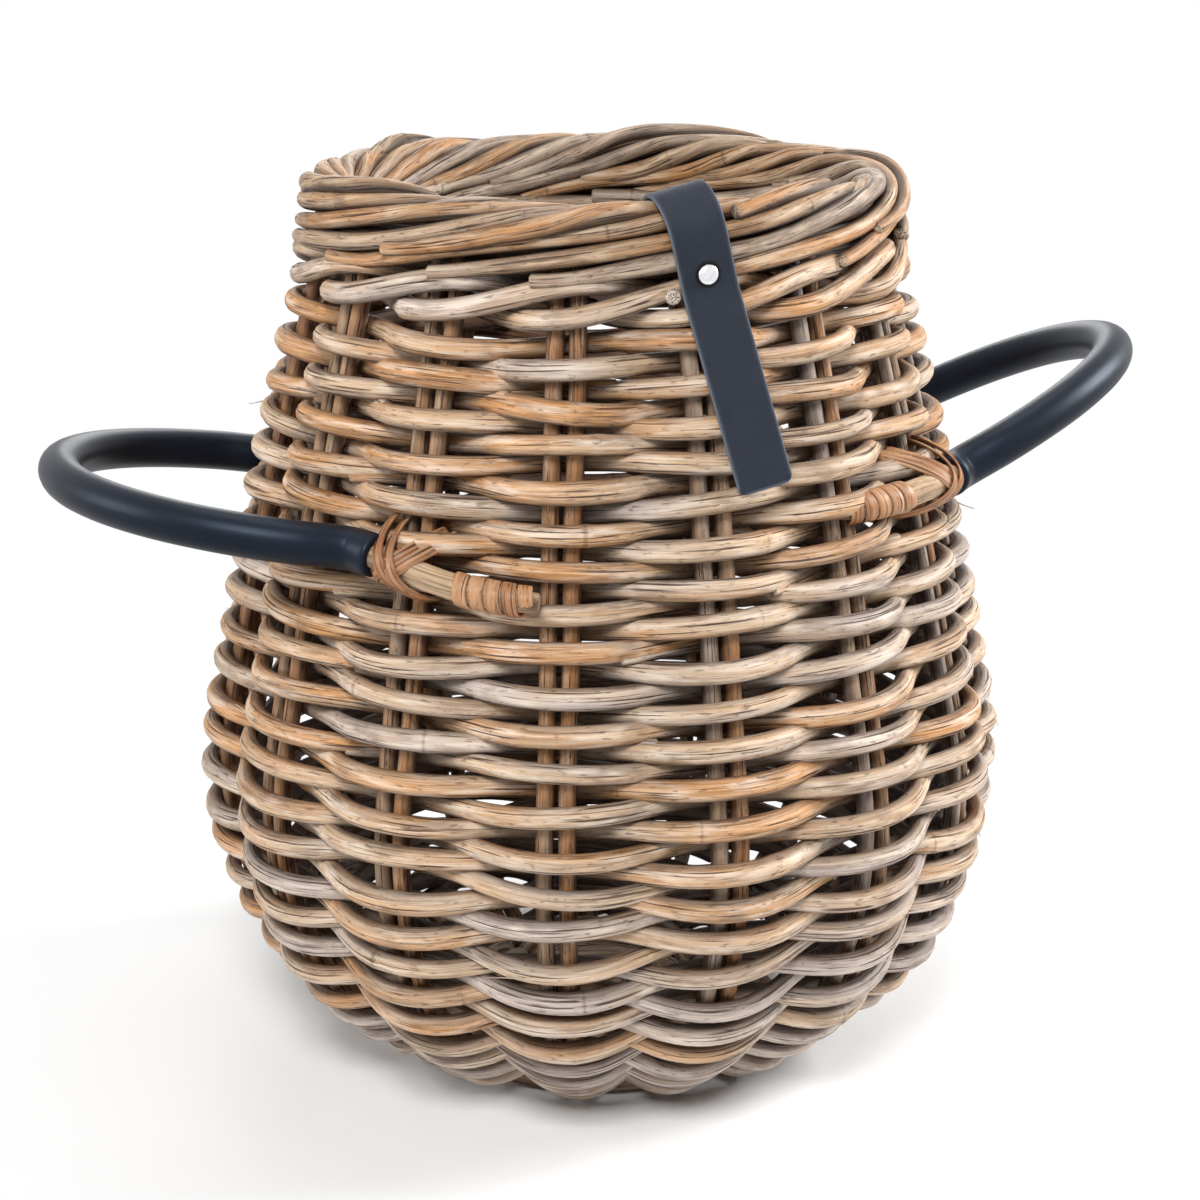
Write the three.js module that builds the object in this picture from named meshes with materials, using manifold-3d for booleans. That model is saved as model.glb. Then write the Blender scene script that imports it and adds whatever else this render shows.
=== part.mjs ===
// Pear-shaped rattan basket with two sleeved hoop handles and a leather strap.
// Millimetres, +Z up. The origin is the centre of the flat underside of the base.
// The handles stand on +X and -X, and the strap hangs at the front, towards -Y.
import * as THREE from 'three';
import { mergeVertices } from 'three/addons/utils/BufferGeometryUtils.js';
import Module from 'manifold-3d';

// Wall: the line that the stakes follow, from the foot to the border
const footRadius = 97;
const footHeight = 9.8;
const lowerWall = [137.7, 37.6];
const swellWall = [171.8, 78.1];
const bellyRadius = 189.2;
const bellyHeight = 148;
const shoulderWall = [175.6, 231.5];
const neckWall = [154.5, 328.7];
const throatWall = [135.6, 401.9];
const rimRadius = 132.3;
const borderHeight = 432;
const wallSegments = 11;

// Stakes: fifteen canes bent double, each a pair of rods
const stakeCount = 15;
const firstStakeAngle = 8;
const stakeThickness = 7.6;
const stakeGap = 3.3;
const hairpinSteps = 3;

// Weavers: one spiral of canes, outside one pair and inside the next
const weaverThickness = 7.6;
const weaverWidth = 7.6;
const weaveClearance = 0.9;
const rowGap = 1.2;
const firstRow = 5;
const weaverCanes = 9;
const caneEndGap = 1.2;

// Waling: three closed rods under the border
const waleRods = 3;
const waleRowGap = 1.0;

// Border: four rods laid round each other like a rope
const borderRods = 4;
const borderRodRadius = 6.2;
const borderRodGap = 0.85;
const borderTurns = 8;
const borderSteps = 48;
const borderSides = 4;
const rimGap = 8;

// Base: two woven discs that grip the stakes between them
const basePlateThickness = 5.7;
const baseLowerRadius = 97.5;
const baseUpperRadius = 84;
const baseSides = 30;

// Handles: cane cores in smooth tubular sleeves
const coreRadius = 6;
const sleeveRadius = 10;
const sleeveFootAngle = 36;
const sleeveFootHeight = 289;
const sleeveStand = 1.1;
const leftReach = 115.5;
const leftTilt = 9.5;
const leftTwist = 3;
const rightReach = 128;
const rightTilt = 25.5;
const rightTwist = 19.5;
const hoopExponent = 2.1;
const hoopSteps = 17;
const tubeSides = 8;
const coreLieFromAngle = 41;
const coreLieToAngle = 63;
const coreLieSteps = 6;
const coreSeat = 0.5;
const coreDrop = 8;
const footSearch = 60;

// Lashings: a flat peel wound round each lying core end
const lashingLoops = 5;
const lashingPitch = 7;
const peelWidth = 5.6;
const peelThickness = 1.2;
const lashingSteps = 10;
const lashingInset = 4;

// Strap: leather looped over the border and riveted to itself
const strapWidth = 26;
const strapThickness = 2.4;
const strapSlant = 13;
const strapStake = 11;
const strapTailLength = 90;
const strapCorner = 7;
const leafBelowRivet = 7;
const strapSlack = 0.6;
const hingeGap = 0.6;
const rivetHeadRadius = 4.75;
const rivetHeadHeight = 2.4;
const rivetShankRadius = 1.3;
const washerRadius = 4;
const washerThickness = 1;

// Clearance between pieces that touch
const fit = 0.3;

const degrees = Math.PI / 180;
const stakeSpacing = (2 * Math.PI) / stakeCount;
const stakeHalf = stakeThickness / 2;
const pairHalf = stakeThickness + stakeGap / 2;
const rodOffset = (stakeThickness + stakeGap) / 2;
const weaverHalf = weaverThickness / 2;
const passOffset = stakeHalf + weaveClearance + weaverHalf;

const materials = {
  weaver: new THREE.MeshStandardMaterial({ color: 0xb39984, roughness: 0.72, metalness: 0 }),
  stake: new THREE.MeshStandardMaterial({ color: 0x9d8a7c, roughness: 0.75, metalness: 0 }),
  border: new THREE.MeshStandardMaterial({ color: 0xb79a7f, roughness: 0.7, metalness: 0 }),
  cane: new THREE.MeshStandardMaterial({ color: 0xcbb08c, roughness: 0.65, metalness: 0 }),
  sleeve: new THREE.MeshStandardMaterial({ color: 0x24272e, roughness: 0.38, metalness: 0 }),
  peel: new THREE.MeshStandardMaterial({ color: 0xa8683a, roughness: 0.5, metalness: 0 }),
  leather: new THREE.MeshStandardMaterial({ color: 0x4b4d54, roughness: 0.7, metalness: 0 }),
  steel: new THREE.MeshStandardMaterial({ color: 0xd8d9dc, roughness: 0.2, metalness: 1 }),
};

const basket = new THREE.Group();

function addPiece(name, geometry, material, parent = basket) {
  const mesh = new THREE.Mesh(geometry, material);
  mesh.name = name;
  parent.add(mesh);
  return mesh;
}

// A surface through equal rings of points. An open row of rings gets end caps, and a
// closed row joins its last ring to its first. Faces are turned outwards by the volume.
function surfaceThrough(rings, closed) {
  const sides = rings[0].length;
  const points = rings.flat();
  const faces = [];
  const spans = closed ? rings.length : rings.length - 1;
  for (let i = 0; i < spans; i += 1) {
    const a = i * sides;
    const b = ((i + 1) % rings.length) * sides;
    for (let j = 0; j < sides; j += 1) {
      const k = (j + 1) % sides;
      faces.push([a + j, a + k, b + k], [a + j, b + k, b + j]);
    }
  }
  if (!closed) {
    const last = (rings.length - 1) * sides;
    for (let j = 1; j < sides - 1; j += 1) {
      faces.push([0, j + 1, j], [last, last + j, last + j + 1]);
    }
  }
  let volume = 0;
  for (const [a, b, c] of faces) {
    const normal = new THREE.Vector3().crossVectors(points[b], points[c]);
    volume += points[a].dot(normal);
  }
  const index = faces.flatMap(([a, b, c]) => (volume > 0 ? [a, b, c] : [a, c, b]));
  const geometry = new THREE.BufferGeometry();
  const positions = points.flatMap((point) => [point.x, point.y, point.z]);
  geometry.setAttribute('position', new THREE.Float32BufferAttribute(positions, 3));
  geometry.setIndex(index);
  geometry.computeVertexNormals();
  return geometry;
}

function polar(angle, radius, height) {
  return new THREE.Vector3(radius * Math.cos(angle), radius * Math.sin(angle), height);
}

// The wall line is a spline cut into straight lengths, so that stakes and weavers share
// the same straight runs and keep their clearance. Normals turn evenly along each run.
const wallSpline = new THREE.SplineCurve([
  new THREE.Vector2(footRadius, footHeight),
  new THREE.Vector2(...lowerWall),
  new THREE.Vector2(...swellWall),
  new THREE.Vector2(bellyRadius, bellyHeight),
  new THREE.Vector2(...shoulderWall),
  new THREE.Vector2(...neckWall),
  new THREE.Vector2(...throatWall),
  new THREE.Vector2(rimRadius, borderHeight),
]);
const wallLength = wallSpline.getLength();
const wallStations = Array.from({ length: wallSegments + 1 }, (_, i) => {
  const point = wallSpline.getPointAt(i / wallSegments);
  const tangent = wallSpline.getTangentAt(i / wallSegments);
  return { point, normal: new THREE.Vector2(tangent.y, -tangent.x) };
});

function wallAt(distance) {
  const place = THREE.MathUtils.clamp(distance / wallLength, 0, 1) * wallSegments;
  const first = Math.min(Math.floor(place), wallSegments - 1);
  const a = wallStations[first];
  const b = wallStations[first + 1];
  const point = a.point.clone().lerp(b.point, place - first);
  const normal = a.normal.clone().lerp(b.normal, place - first).normalize();
  return { point, normal, along: new THREE.Vector2(-normal.y, normal.x) };
}

// The distance along the wall at which the point at this offset reaches a height
function wallDistanceAt(height, offset = 0) {
  let low = 0;
  let high = wallLength;
  for (let i = 0; i < 30; i += 1) {
    const middle = (low + high) / 2;
    const wall = wallAt(middle);
    if (wall.point.y + wall.normal.y * offset < height) low = middle;
    else high = middle;
  }
  return low;
}

// How far a weaver stands out over a pair of stakes, and how far it dips behind one
function outsideOffset(radius) {
  return passOffset + pairHalf ** 2 / (2 * radius);
}

function insideOffset(radius) {
  const reach = radius * stakeSpacing - pairHalf;
  const share = pairHalf / reach;
  const sag = (pairHalf * (reach - pairHalf)) / (2 * radius);
  return (passOffset + outsideOffset(radius) * share - sag) / (1 - share);
}

// One section of a weaver: four corners in the upright plane at this angle
function weaverSection(angle, distance, offset) {
  const wall = wallAt(distance);
  const corners = [[-1, -1], [1, -1], [1, 1], [-1, 1]];
  return corners.map(([out, up]) => {
    const across = offset + out * weaverHalf;
    const rise = (up * weaverWidth) / 2;
    const radius = wall.point.x + wall.normal.x * across + wall.along.x * rise;
    const height = wall.point.y + wall.normal.y * across + wall.along.y * rise;
    return polar(angle, radius, height);
  });
}

// The sections of a weaver where it crosses one stake: two over it, or one behind it
function crossing(index, distance, outside) {
  const angle = firstStakeAngle * degrees + index * stakeSpacing;
  const radius = wallAt(distance).point.x;
  if (!outside) return [weaverSection(angle, distance, -insideOffset(radius))];
  const turn = pairHalf / radius;
  const offset = outsideOffset(radius);
  return [angle - turn, angle + turn].map((side) => weaverSection(side, distance, offset));
}

// Stakes: down the wall, in between the base discs, round a hairpin and back up
const stakeFootZ = basePlateThickness + fit + stakeHalf;
const hairpinRadius = pairHalf / Math.tan(stakeSpacing / 2) + stakeThickness;
const borderRodFlat = borderRodRadius * Math.cos(Math.PI / borderSides);
const borderLayRadius = (borderRodFlat + borderRodGap / 2) / Math.sin(Math.PI / borderRods);
const borderRadius = borderLayRadius + borderRodRadius;
const borderFoot = borderHeight - borderRadius;
const stakeTop = wallDistanceAt(borderFoot - fit);

function stakeRoute() {
  const route = [];
  const step = wallLength / wallSegments;
  for (let i = 1; i * step < stakeTop - 1; i += 1) {
    const wall = wallAt(i * step);
    route.push({ radius: wall.point.x, height: wall.point.y, normal: wall.normal });
  }
  const top = wallAt(stakeTop);
  route.push({ radius: top.point.x, height: top.point.y, normal: top.normal });
  const foot = wallAt(0);
  const bend = { radius: foot.point.x, height: foot.point.y };
  bend.normal = foot.normal.clone().add(new THREE.Vector2(0, -1)).normalize();
  route.unshift(bend);
  const flat = new THREE.Vector2(0, -1);
  route.unshift({ radius: hairpinRadius, height: stakeFootZ, normal: flat });
  return route;
}

function stakeGeometry(angle) {
  const outwards = new THREE.Vector3(Math.cos(angle), Math.sin(angle), 0);
  const sideways = new THREE.Vector3(-Math.sin(angle), Math.cos(angle), 0);
  const upwards = new THREE.Vector3(0, 0, 1);
  const corners = [[-1, -1], [1, -1], [1, 1], [-1, 1]];
  const place = (radius, side, height) => new THREE.Vector3()
    .addScaledVector(outwards, radius)
    .addScaledVector(sideways, side)
    .addScaledVector(upwards, height);
  const rod = (side) => stakeRoute().map(({ radius, height, normal }) => corners.map(([a, b]) => {
    const shift = a * stakeHalf;
    return place(
      radius + normal.x * shift,
      side * (rodOffset + b * stakeHalf),
      height + normal.y * shift,
    );
  }));
  const bend = Array.from({ length: hairpinSteps - 1 }, (_, i) => {
    const turn = ((i + 1) / hairpinSteps) * Math.PI;
    return corners.map(([a, b]) => {
      const reach = rodOffset + b * stakeHalf;
      return place(
        hairpinRadius - reach * Math.sin(turn),
        reach * Math.cos(turn),
        stakeFootZ - a * stakeHalf,
      );
    });
  });
  return surfaceThrough([...rod(1).reverse(), ...bend, ...rod(-1)], false);
}

for (let i = 0; i < stakeCount; i += 1) {
  const angle = firstStakeAngle * degrees + i * stakeSpacing;
  const name = `stake_pair_${String(i + 1).padStart(2, '0')}`;
  addPiece(name, stakeGeometry(angle), materials.stake);
}

// Weavers: the rows climb evenly from the foot to the waling
const walePitch = weaverWidth + waleRowGap;
const topWale = wallDistanceAt(borderFoot - rimGap) - weaverWidth / 2;
const rowsEnd = topWale - walePitch * waleRods;
const rowCount = Math.floor((rowsEnd - firstRow) / (weaverWidth + rowGap));
const rowPitch = (rowsEnd - firstRow) / rowCount;

function caneSplit(cane) {
  return 2 * Math.round((cane * rowCount * stakeCount) / (2 * weaverCanes)) + 1;
}

function weaverGeometry(cane) {
  const from = caneSplit(cane);
  const to = caneSplit(cane + 1);
  const sections = [];
  for (let i = from; i <= to; i += 1) {
    const distance = firstRow + (rowPitch * i) / stakeCount;
    if (i === from || i === to) {
      const radius = wallAt(distance).point.x;
      const side = i === from ? 1 : -1;
      const turn = (side * caneEndGap) / 2 / radius;
      const angle = firstStakeAngle * degrees + i * stakeSpacing + turn;
      sections.push(weaverSection(angle, distance, -insideOffset(radius)));
    } else {
      sections.push(...crossing(i, distance, i % 2 === 0));
    }
  }
  return surfaceThrough(sections, false);
}

for (let cane = 0; cane < weaverCanes; cane += 1) {
  const name = `weaver_${String(cane + 1).padStart(2, '0')}`;
  addPiece(name, weaverGeometry(cane), materials.weaver);
}

// Waling: each rod passes outside two pairs and behind the third, one pair on from the last
for (let rod = 0; rod < waleRods; rod += 1) {
  const distance = topWale - walePitch * (waleRods - 1 - rod);
  const sections = [];
  for (let i = 0; i < stakeCount; i += 1) {
    sections.push(...crossing(i, distance, (i + rod) % waleRods !== 0));
  }
  addPiece(`top_wale_rod_${rod + 1}`, surfaceThrough(sections, true), materials.weaver);
}

// Border: each rod winds round the middle of the roll a whole number of times. It starts
// a quarter step on, so that every rod comes equally low over the stakes.
const borderStart = (Math.PI / 2) * (borderTurns / borderSteps);
for (let rod = 0; rod < borderRods; rod += 1) {
  const rings = [];
  for (let i = 0; i < borderSteps; i += 1) {
    const around = (i / borderSteps) * 2 * Math.PI;
    const lay = borderTurns * around + (rod / borderRods) * 2 * Math.PI + borderStart;
    const ring = [];
    for (let j = 0; j < borderSides; j += 1) {
      const turn = lay + (j / borderSides) * 2 * Math.PI;
      const across = borderLayRadius * Math.cos(lay) + borderRodRadius * Math.cos(turn);
      const rise = borderLayRadius * Math.sin(lay) + borderRodRadius * Math.sin(turn);
      ring.push(polar(around, rimRadius + across, borderHeight + rise));
    }
    rings.push(ring);
  }
  addPiece(`border_rod_${rod + 1}`, surfaceThrough(rings, true), materials.border);
}

// Base: a spool of one turned section, flat underneath, with the stakes in its slot
const baseHubRadius = hairpinRadius - rodOffset - stakeHalf - fit;
const slotTop = basePlateThickness + stakeThickness + 2 * fit;
const baseProfile = [
  [0, 0],
  [baseLowerRadius, 0],
  [baseLowerRadius, basePlateThickness],
  [baseHubRadius, basePlateThickness],
  [baseHubRadius, slotTop],
  [baseUpperRadius, slotTop],
  [baseUpperRadius, slotTop + basePlateThickness],
  [0, slotTop + basePlateThickness],
].map(([radius, height]) => new THREE.Vector2(radius, height));
const baseGeometry = new THREE.LatheGeometry(baseProfile, baseSides);
baseGeometry.rotateX(Math.PI / 2);
addPiece('base_weave', baseGeometry, materials.weaver);

// Handles: the core's route, from one lying end through the hoop to the other
const lashingInner = (coreRadius + fit) / Math.cos(Math.PI / lashingSteps);
const lashingOuter = lashingInner + peelThickness;

// A point beside the wall, clear of the weave by the lashing's thickness less an easing
function besideWall(angle, height, side, ease) {
  const radiusHere = wallAt(wallDistanceAt(height)).point.x;
  const stand = outsideOffset(radiusHere) + weaverHalf + fit + lashingOuter - ease;
  const wall = wallAt(wallDistanceAt(height, stand));
  return polar(angle * degrees * side, wall.point.x + wall.normal.x * stand, height);
}

// The lying end of a core, from its cut end towards the sleeve
function lyingEnd(side, height, ease) {
  return Array.from({ length: coreLieSteps + 1 }, (_, i) => {
    const angle = coreLieToAngle + ((coreLieFromAngle - coreLieToAngle) * i) / coreLieSteps;
    const drop = (coreDrop * (angle - coreLieFromAngle)) / (coreLieToAngle - coreLieFromAngle);
    return besideWall(angle, height - drop, side, ease);
  });
}

// The high points of the weave beside the handle feet: both edges of each outside pass
const highPoints = [];
for (let i = 0; i < rowCount * stakeCount; i += 2) {
  const distance = firstRow + (rowPitch * i) / stakeCount;
  const height = wallAt(distance).point.y;
  if (Math.abs(height - sleeveFootHeight) < footSearch) {
    const [near, far] = crossing(i, distance, true);
    for (const corner of [1, 2]) {
      for (const share of [0, 0.5, 1]) highPoints.push(near[corner].clone().lerp(far[corner], share));
    }
  }
}

// How far a lying end can ease towards the weave before it, or its lashing, meets it
function easeToWeave(hand, side, height) {
  const lashed = lashingInset + lashingLoops * lashingPitch + peelWidth;
  let ease = 0;
  for (let pass = 0; pass < 4; pass += 1) {
    const line = lyingEnd(side, height, ease);
    for (const point of line) point.x *= hand;
    let least = Infinity;
    let travel = 0;
    for (let i = 0; i + 1 < line.length; i += 1) {
      const run = new THREE.Line3(line[i], line[i + 1]);
      const bulk = travel < lashed ? lashingOuter : coreRadius;
      for (const point of highPoints) {
        const nearest = run.closestPointToPoint(point, true, new THREE.Vector3());
        least = Math.min(least, nearest.distanceTo(point) - bulk);
      }
      travel += run.distance();
    }
    ease += least - coreSeat;
  }
  return ease;
}

// The hoop stands on two feet by the wall, the front one higher than the back one by twice
// the twist
function handleRoute(hand, reach, tilt, twist) {
  const frontHeight = sleeveFootHeight + twist;
  const backHeight = sleeveFootHeight - twist;
  const frontEase = easeToWeave(hand, -1, frontHeight);
  const backEase = easeToWeave(hand, 1, backHeight);
  const frontFoot = besideWall(sleeveFootAngle, frontHeight, -1, frontEase - sleeveStand);
  const backFoot = besideWall(sleeveFootAngle, backHeight, 1, backEase - sleeveStand);
  const points = lyingEnd(-1, frontHeight, frontEase);
  const sleeveFrom = points.length;
  for (let i = 0; i <= hoopSteps; i += 1) {
    const turn = -Math.PI / 2 + (i / hoopSteps) * Math.PI;
    const out = reach * Math.abs(Math.cos(turn)) ** (2 / hoopExponent);
    const share = Math.sign(turn) * Math.abs(Math.sin(turn)) ** (2 / hoopExponent);
    const point = frontFoot.clone().lerp(backFoot, (1 + share) / 2);
    point.x += out * Math.cos(tilt * degrees);
    point.z += out * Math.sin(tilt * degrees);
    points.push(point);
  }
  const sleeveTo = points.length - 1;
  points.push(...lyingEnd(1, backHeight, backEase).reverse());
  return { points, sleeveFrom, sleeveTo };
}

// Rings of points round a route, square to it, kept upright by the vertical
function ringsAlong(points, radius, sides) {
  return points.map((point, i) => {
    const before = points[Math.max(i - 1, 0)];
    const after = points[Math.min(i + 1, points.length - 1)];
    const tangent = after.clone().sub(before).normalize();
    const across = new THREE.Vector3(0, 0, 1).cross(tangent).normalize();
    const up = tangent.clone().cross(across);
    return Array.from({ length: sides }, (_, j) => {
      const turn = ((j + 0.5) / sides) * 2 * Math.PI;
      return point.clone()
        .addScaledVector(across, radius * Math.cos(turn))
        .addScaledVector(up, radius * Math.sin(turn));
    });
  });
}

// The least distance between points of a winding that are half a loop or more apart
function leastGap(rings) {
  let least = Infinity;
  for (let i = 0; i < rings.length; i += 1) {
    for (let j = i + lashingSteps / 2; j < rings.length; j += 1) {
      for (const a of rings[i]) {
        for (const b of rings[j]) least = Math.min(least, a.distanceTo(b));
      }
    }
  }
  return least;
}

// A lashing: a flat peel that winds round the lying end of a core in one unbroken strip
function lashingRings(points) {
  const curve = new THREE.CatmullRomCurve3(points);
  const length = curve.getLength();
  const rings = [];
  for (let i = 0; i <= lashingLoops * lashingSteps; i += 1) {
    const travel = lashingInset + peelWidth / 2 + (lashingPitch * i) / lashingSteps;
    const place = curve.getPointAt(travel / length);
    const tangent = curve.getTangentAt(travel / length);
    const across = new THREE.Vector3(0, 0, 1).cross(tangent).normalize();
    const up = tangent.clone().cross(across);
    const turn = (i / lashingSteps) * 2 * Math.PI;
    const outward = across.multiplyScalar(Math.cos(turn)).addScaledVector(up, Math.sin(turn));
    const corners = [[-1, lashingInner], [1, lashingInner], [1, lashingOuter], [-1, lashingOuter]];
    rings.push(corners.map(([edge, radius]) => place.clone()
      .addScaledVector(tangent, (edge * peelWidth) / 2)
      .addScaledVector(outward, radius)));
  }
  return rings;
}

function addHandle(name, side, reach, tilt, twist) {
  const { points, sleeveFrom, sleeveTo } = handleRoute(side, reach, tilt, twist);
  const route = points.map((point) => new THREE.Vector3(point.x * side, point.y, point.z));
  const cut = (rings) => rings.slice(sleeveFrom, sleeveTo + 1);
  const core = ringsAlong(route, coreRadius, tubeSides);
  const bore = ringsAlong(route, coreRadius + fit, tubeSides);
  const skin = ringsAlong(route, sleeveRadius, tubeSides);
  addPiece(`handle_core_${name}`, surfaceThrough(core, false), materials.cane);
  const shell = [...cut(skin), ...cut(bore).reverse()];
  addPiece(`handle_sleeve_${name}`, surfaceThrough(shell, true), materials.sleeve);
  const ends = { front: route.slice(0, coreLieSteps + 2), back: route.slice(-coreLieSteps - 2) };
  ends.back.reverse();
  for (const [place, end] of Object.entries(ends)) {
    const rings = lashingRings(end);
    const label = `lashing_${name}_${place}`;
    addPiece(label, surfaceThrough(rings, false), materials.peel);
    console.log(`${label} least gap to itself ${leastGap(rings).toFixed(2)} mm`);
  }
}

addHandle('right', 1, rightReach, rightTilt, rightTwist);
addHandle('left', -1, leftReach, leftTilt, leftTwist);

// Strap: a frame at the rivet, with x out of the wall, y along it and z up, then slanted.
// The rivet passes between the border and the waling.
const wasm = await Module();
wasm.setup();

function toSolid(geometry) {
  const bare = geometry.clone();
  bare.deleteAttribute('normal');
  bare.deleteAttribute('uv');
  const merged = mergeVertices(bare, 1e-4);
  return new wasm.Manifold(new wasm.Mesh({
    numProp: 3,
    vertProperties: new Float32Array(merged.attributes.position.array),
    triVerts: new Uint32Array(merged.index.array),
  }));
}

function toGeometry(solid) {
  const mesh = solid.getMesh();
  const geometry = new THREE.BufferGeometry();
  geometry.setAttribute('position', new THREE.BufferAttribute(mesh.vertProperties, 3));
  geometry.setIndex(new THREE.BufferAttribute(mesh.triVerts, 1));
  geometry.computeVertexNormals();
  return geometry;
}

const rivetHeight = borderFoot - rimGap / 2;
const strapAngle = firstStakeAngle * degrees + strapStake * stakeSpacing;
const strapFrame = new THREE.Group();
strapFrame.position.copy(polar(strapAngle, rimRadius, rivetHeight));
strapFrame.rotation.z = strapAngle;
basket.add(strapFrame);
const slantFrame = new THREE.Group();
slantFrame.rotation.x = strapSlant * degrees;
strapFrame.add(slantFrame);

const waleWall = wallAt(topWale);
const waleStand = outsideOffset(waleWall.point.x) + weaverHalf;
const waleFace = waleWall.point.x + waleWall.normal.x * waleStand;
const leafInner = waleFace - rimRadius + weaveClearance + strapSlack;
const leafOuter = leafInner + strapThickness;
const loopCentre = borderHeight - rivetHeight;

// The loop's edge-on outline: two leaves joined by a half circle over the border
function loopOutline() {
  const shape = new THREE.Shape();
  shape.moveTo(leafInner, -leafBelowRivet);
  shape.lineTo(leafOuter, -leafBelowRivet);
  shape.lineTo(leafOuter, loopCentre);
  shape.absarc(0, loopCentre, leafOuter, 0, Math.PI, false);
  shape.lineTo(-leafOuter, -leafBelowRivet);
  shape.lineTo(-leafInner, -leafBelowRivet);
  shape.lineTo(-leafInner, loopCentre);
  shape.absarc(0, loopCentre, leafInner, Math.PI, 0, true);
  return shape;
}

function rivetHole() {
  const hole = new THREE.CylinderGeometry(
    rivetShankRadius + fit,
    rivetShankRadius + fit,
    4 * leafOuter,
    12,
  );
  return hole.rotateZ(Math.PI / 2);
}

const loopBody = new THREE.ExtrudeGeometry(loopOutline(), {
  depth: strapWidth,
  bevelEnabled: false,
  curveSegments: 9,
});
loopBody.rotateX(Math.PI / 2);
loopBody.translate(0, strapWidth / 2, 0);
const loopGeometry = toGeometry(toSolid(loopBody).subtract(toSolid(rivetHole())));
addPiece('strap_loop', loopGeometry, materials.leather, slantFrame);

// The tail bends up from the end of the outer leaf, about the line of its outer face
const hingeHeight = -leafBelowRivet - hingeGap / 2;
const tailEndHeight = rivetHeight + hingeHeight - strapTailLength * Math.cos(strapSlant * degrees);
const tailWall = wallAt(wallDistanceAt(tailEndHeight));
const tailStand = outsideOffset(tailWall.point.x) + weaverHalf + weaveClearance;
const tailReach = tailWall.point.x + tailStand / tailWall.normal.x - rimRadius - leafInner;
const tailTilt = Math.asin(tailReach / strapTailLength);

const tailFrame = new THREE.Group();
tailFrame.position.set(leafOuter, 0, hingeHeight);
tailFrame.rotation.y = -tailTilt;
slantFrame.add(tailFrame);

function tailOutline() {
  const half = strapWidth / 2;
  const top = -hingeGap / 2;
  const low = -strapTailLength;
  const shape = new THREE.Shape();
  shape.moveTo(-half, top);
  shape.lineTo(-half, low + strapCorner);
  shape.absarc(-half + strapCorner, low + strapCorner, strapCorner, Math.PI, 1.5 * Math.PI, false);
  shape.absarc(half - strapCorner, low + strapCorner, strapCorner, 1.5 * Math.PI, 2 * Math.PI, false);
  shape.lineTo(half, top);
  return shape;
}

const tailGeometry = new THREE.ExtrudeGeometry(tailOutline(), {
  depth: strapThickness,
  bevelEnabled: false,
  curveSegments: 5,
});
tailGeometry.translate(0, 0, -strapThickness);
tailGeometry.rotateX(Math.PI / 2);
tailGeometry.rotateZ(Math.PI / 2);
addPiece('strap_tail', tailGeometry, materials.leather, tailFrame);

// Rivet: a domed head outside, with a shank between the two rods of a stake to the washer
const shankEnd = -leafOuter - 2 * fit - washerThickness - 0.8;
const headSeat = leafOuter + fit;
const rivetProfile = [
  [0, shankEnd],
  [rivetShankRadius, shankEnd],
  [rivetShankRadius, headSeat],
  [rivetHeadRadius, headSeat],
  [rivetHeadRadius, headSeat + rivetHeadHeight * 0.3],
  [rivetHeadRadius * 0.8, headSeat + rivetHeadHeight * 0.75],
  [rivetHeadRadius * 0.4, headSeat + rivetHeadHeight],
  [0, headSeat + rivetHeadHeight],
].map(([radius, height]) => new THREE.Vector2(radius, height));
const rivetGeometry = new THREE.LatheGeometry(rivetProfile, 12);
rivetGeometry.rotateZ(-Math.PI / 2);
addPiece('rivet', rivetGeometry, materials.steel, slantFrame);

const washerSeat = -leafOuter - fit;
const washerBore = rivetShankRadius + fit;
const washerProfile = [
  [washerBore, washerSeat - washerThickness],
  [washerRadius, washerSeat - washerThickness],
  [washerRadius, washerSeat],
  [washerBore, washerSeat],
  [washerBore, washerSeat - washerThickness],
].map(([radius, height]) => new THREE.Vector2(radius, height));
const washerGeometry = new THREE.LatheGeometry(washerProfile, 12);
washerGeometry.rotateZ(-Math.PI / 2);
addPiece('rivet_washer', washerGeometry, materials.steel, slantFrame);

export default basket;
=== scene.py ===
# %% [markdown]
# # A rattan basket with sleeved handles and a leather strap
# The real basket is worked by hand from kubu rattan: stiff canes about 9 mm thick that are woven
# wet and dry to a hard, knobbly wall. This lesson rebuilds it piece by piece. Every cane is one
# surface that numpy works out from a formula, so that the whole weave follows from a few numbers.
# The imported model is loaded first. It gives the frame that every piece has to fit.

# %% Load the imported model
import math
import bmesh
import bpy
import numpy as np
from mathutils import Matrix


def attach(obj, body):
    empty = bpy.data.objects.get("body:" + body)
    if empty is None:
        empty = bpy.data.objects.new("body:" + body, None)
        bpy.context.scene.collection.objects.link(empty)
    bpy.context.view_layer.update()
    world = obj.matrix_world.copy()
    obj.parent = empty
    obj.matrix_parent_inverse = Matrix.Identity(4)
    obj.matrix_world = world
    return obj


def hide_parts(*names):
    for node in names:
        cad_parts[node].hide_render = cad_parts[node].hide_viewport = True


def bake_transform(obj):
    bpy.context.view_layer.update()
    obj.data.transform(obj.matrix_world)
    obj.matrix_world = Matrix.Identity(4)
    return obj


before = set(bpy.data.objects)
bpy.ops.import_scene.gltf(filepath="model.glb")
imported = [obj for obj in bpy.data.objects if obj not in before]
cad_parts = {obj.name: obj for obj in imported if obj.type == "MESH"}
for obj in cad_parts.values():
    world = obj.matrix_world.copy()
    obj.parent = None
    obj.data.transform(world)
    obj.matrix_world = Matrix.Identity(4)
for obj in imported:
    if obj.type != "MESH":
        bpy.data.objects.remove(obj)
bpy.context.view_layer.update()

# %% [markdown]
# ## The camera
# The camera could be placed by eye, but a fit of the rim, the belly and the foot to the photograph
# is surer. It looks slightly down from a little left of the strap, through a long lens, which is
# why the basket shows so little perspective.

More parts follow.
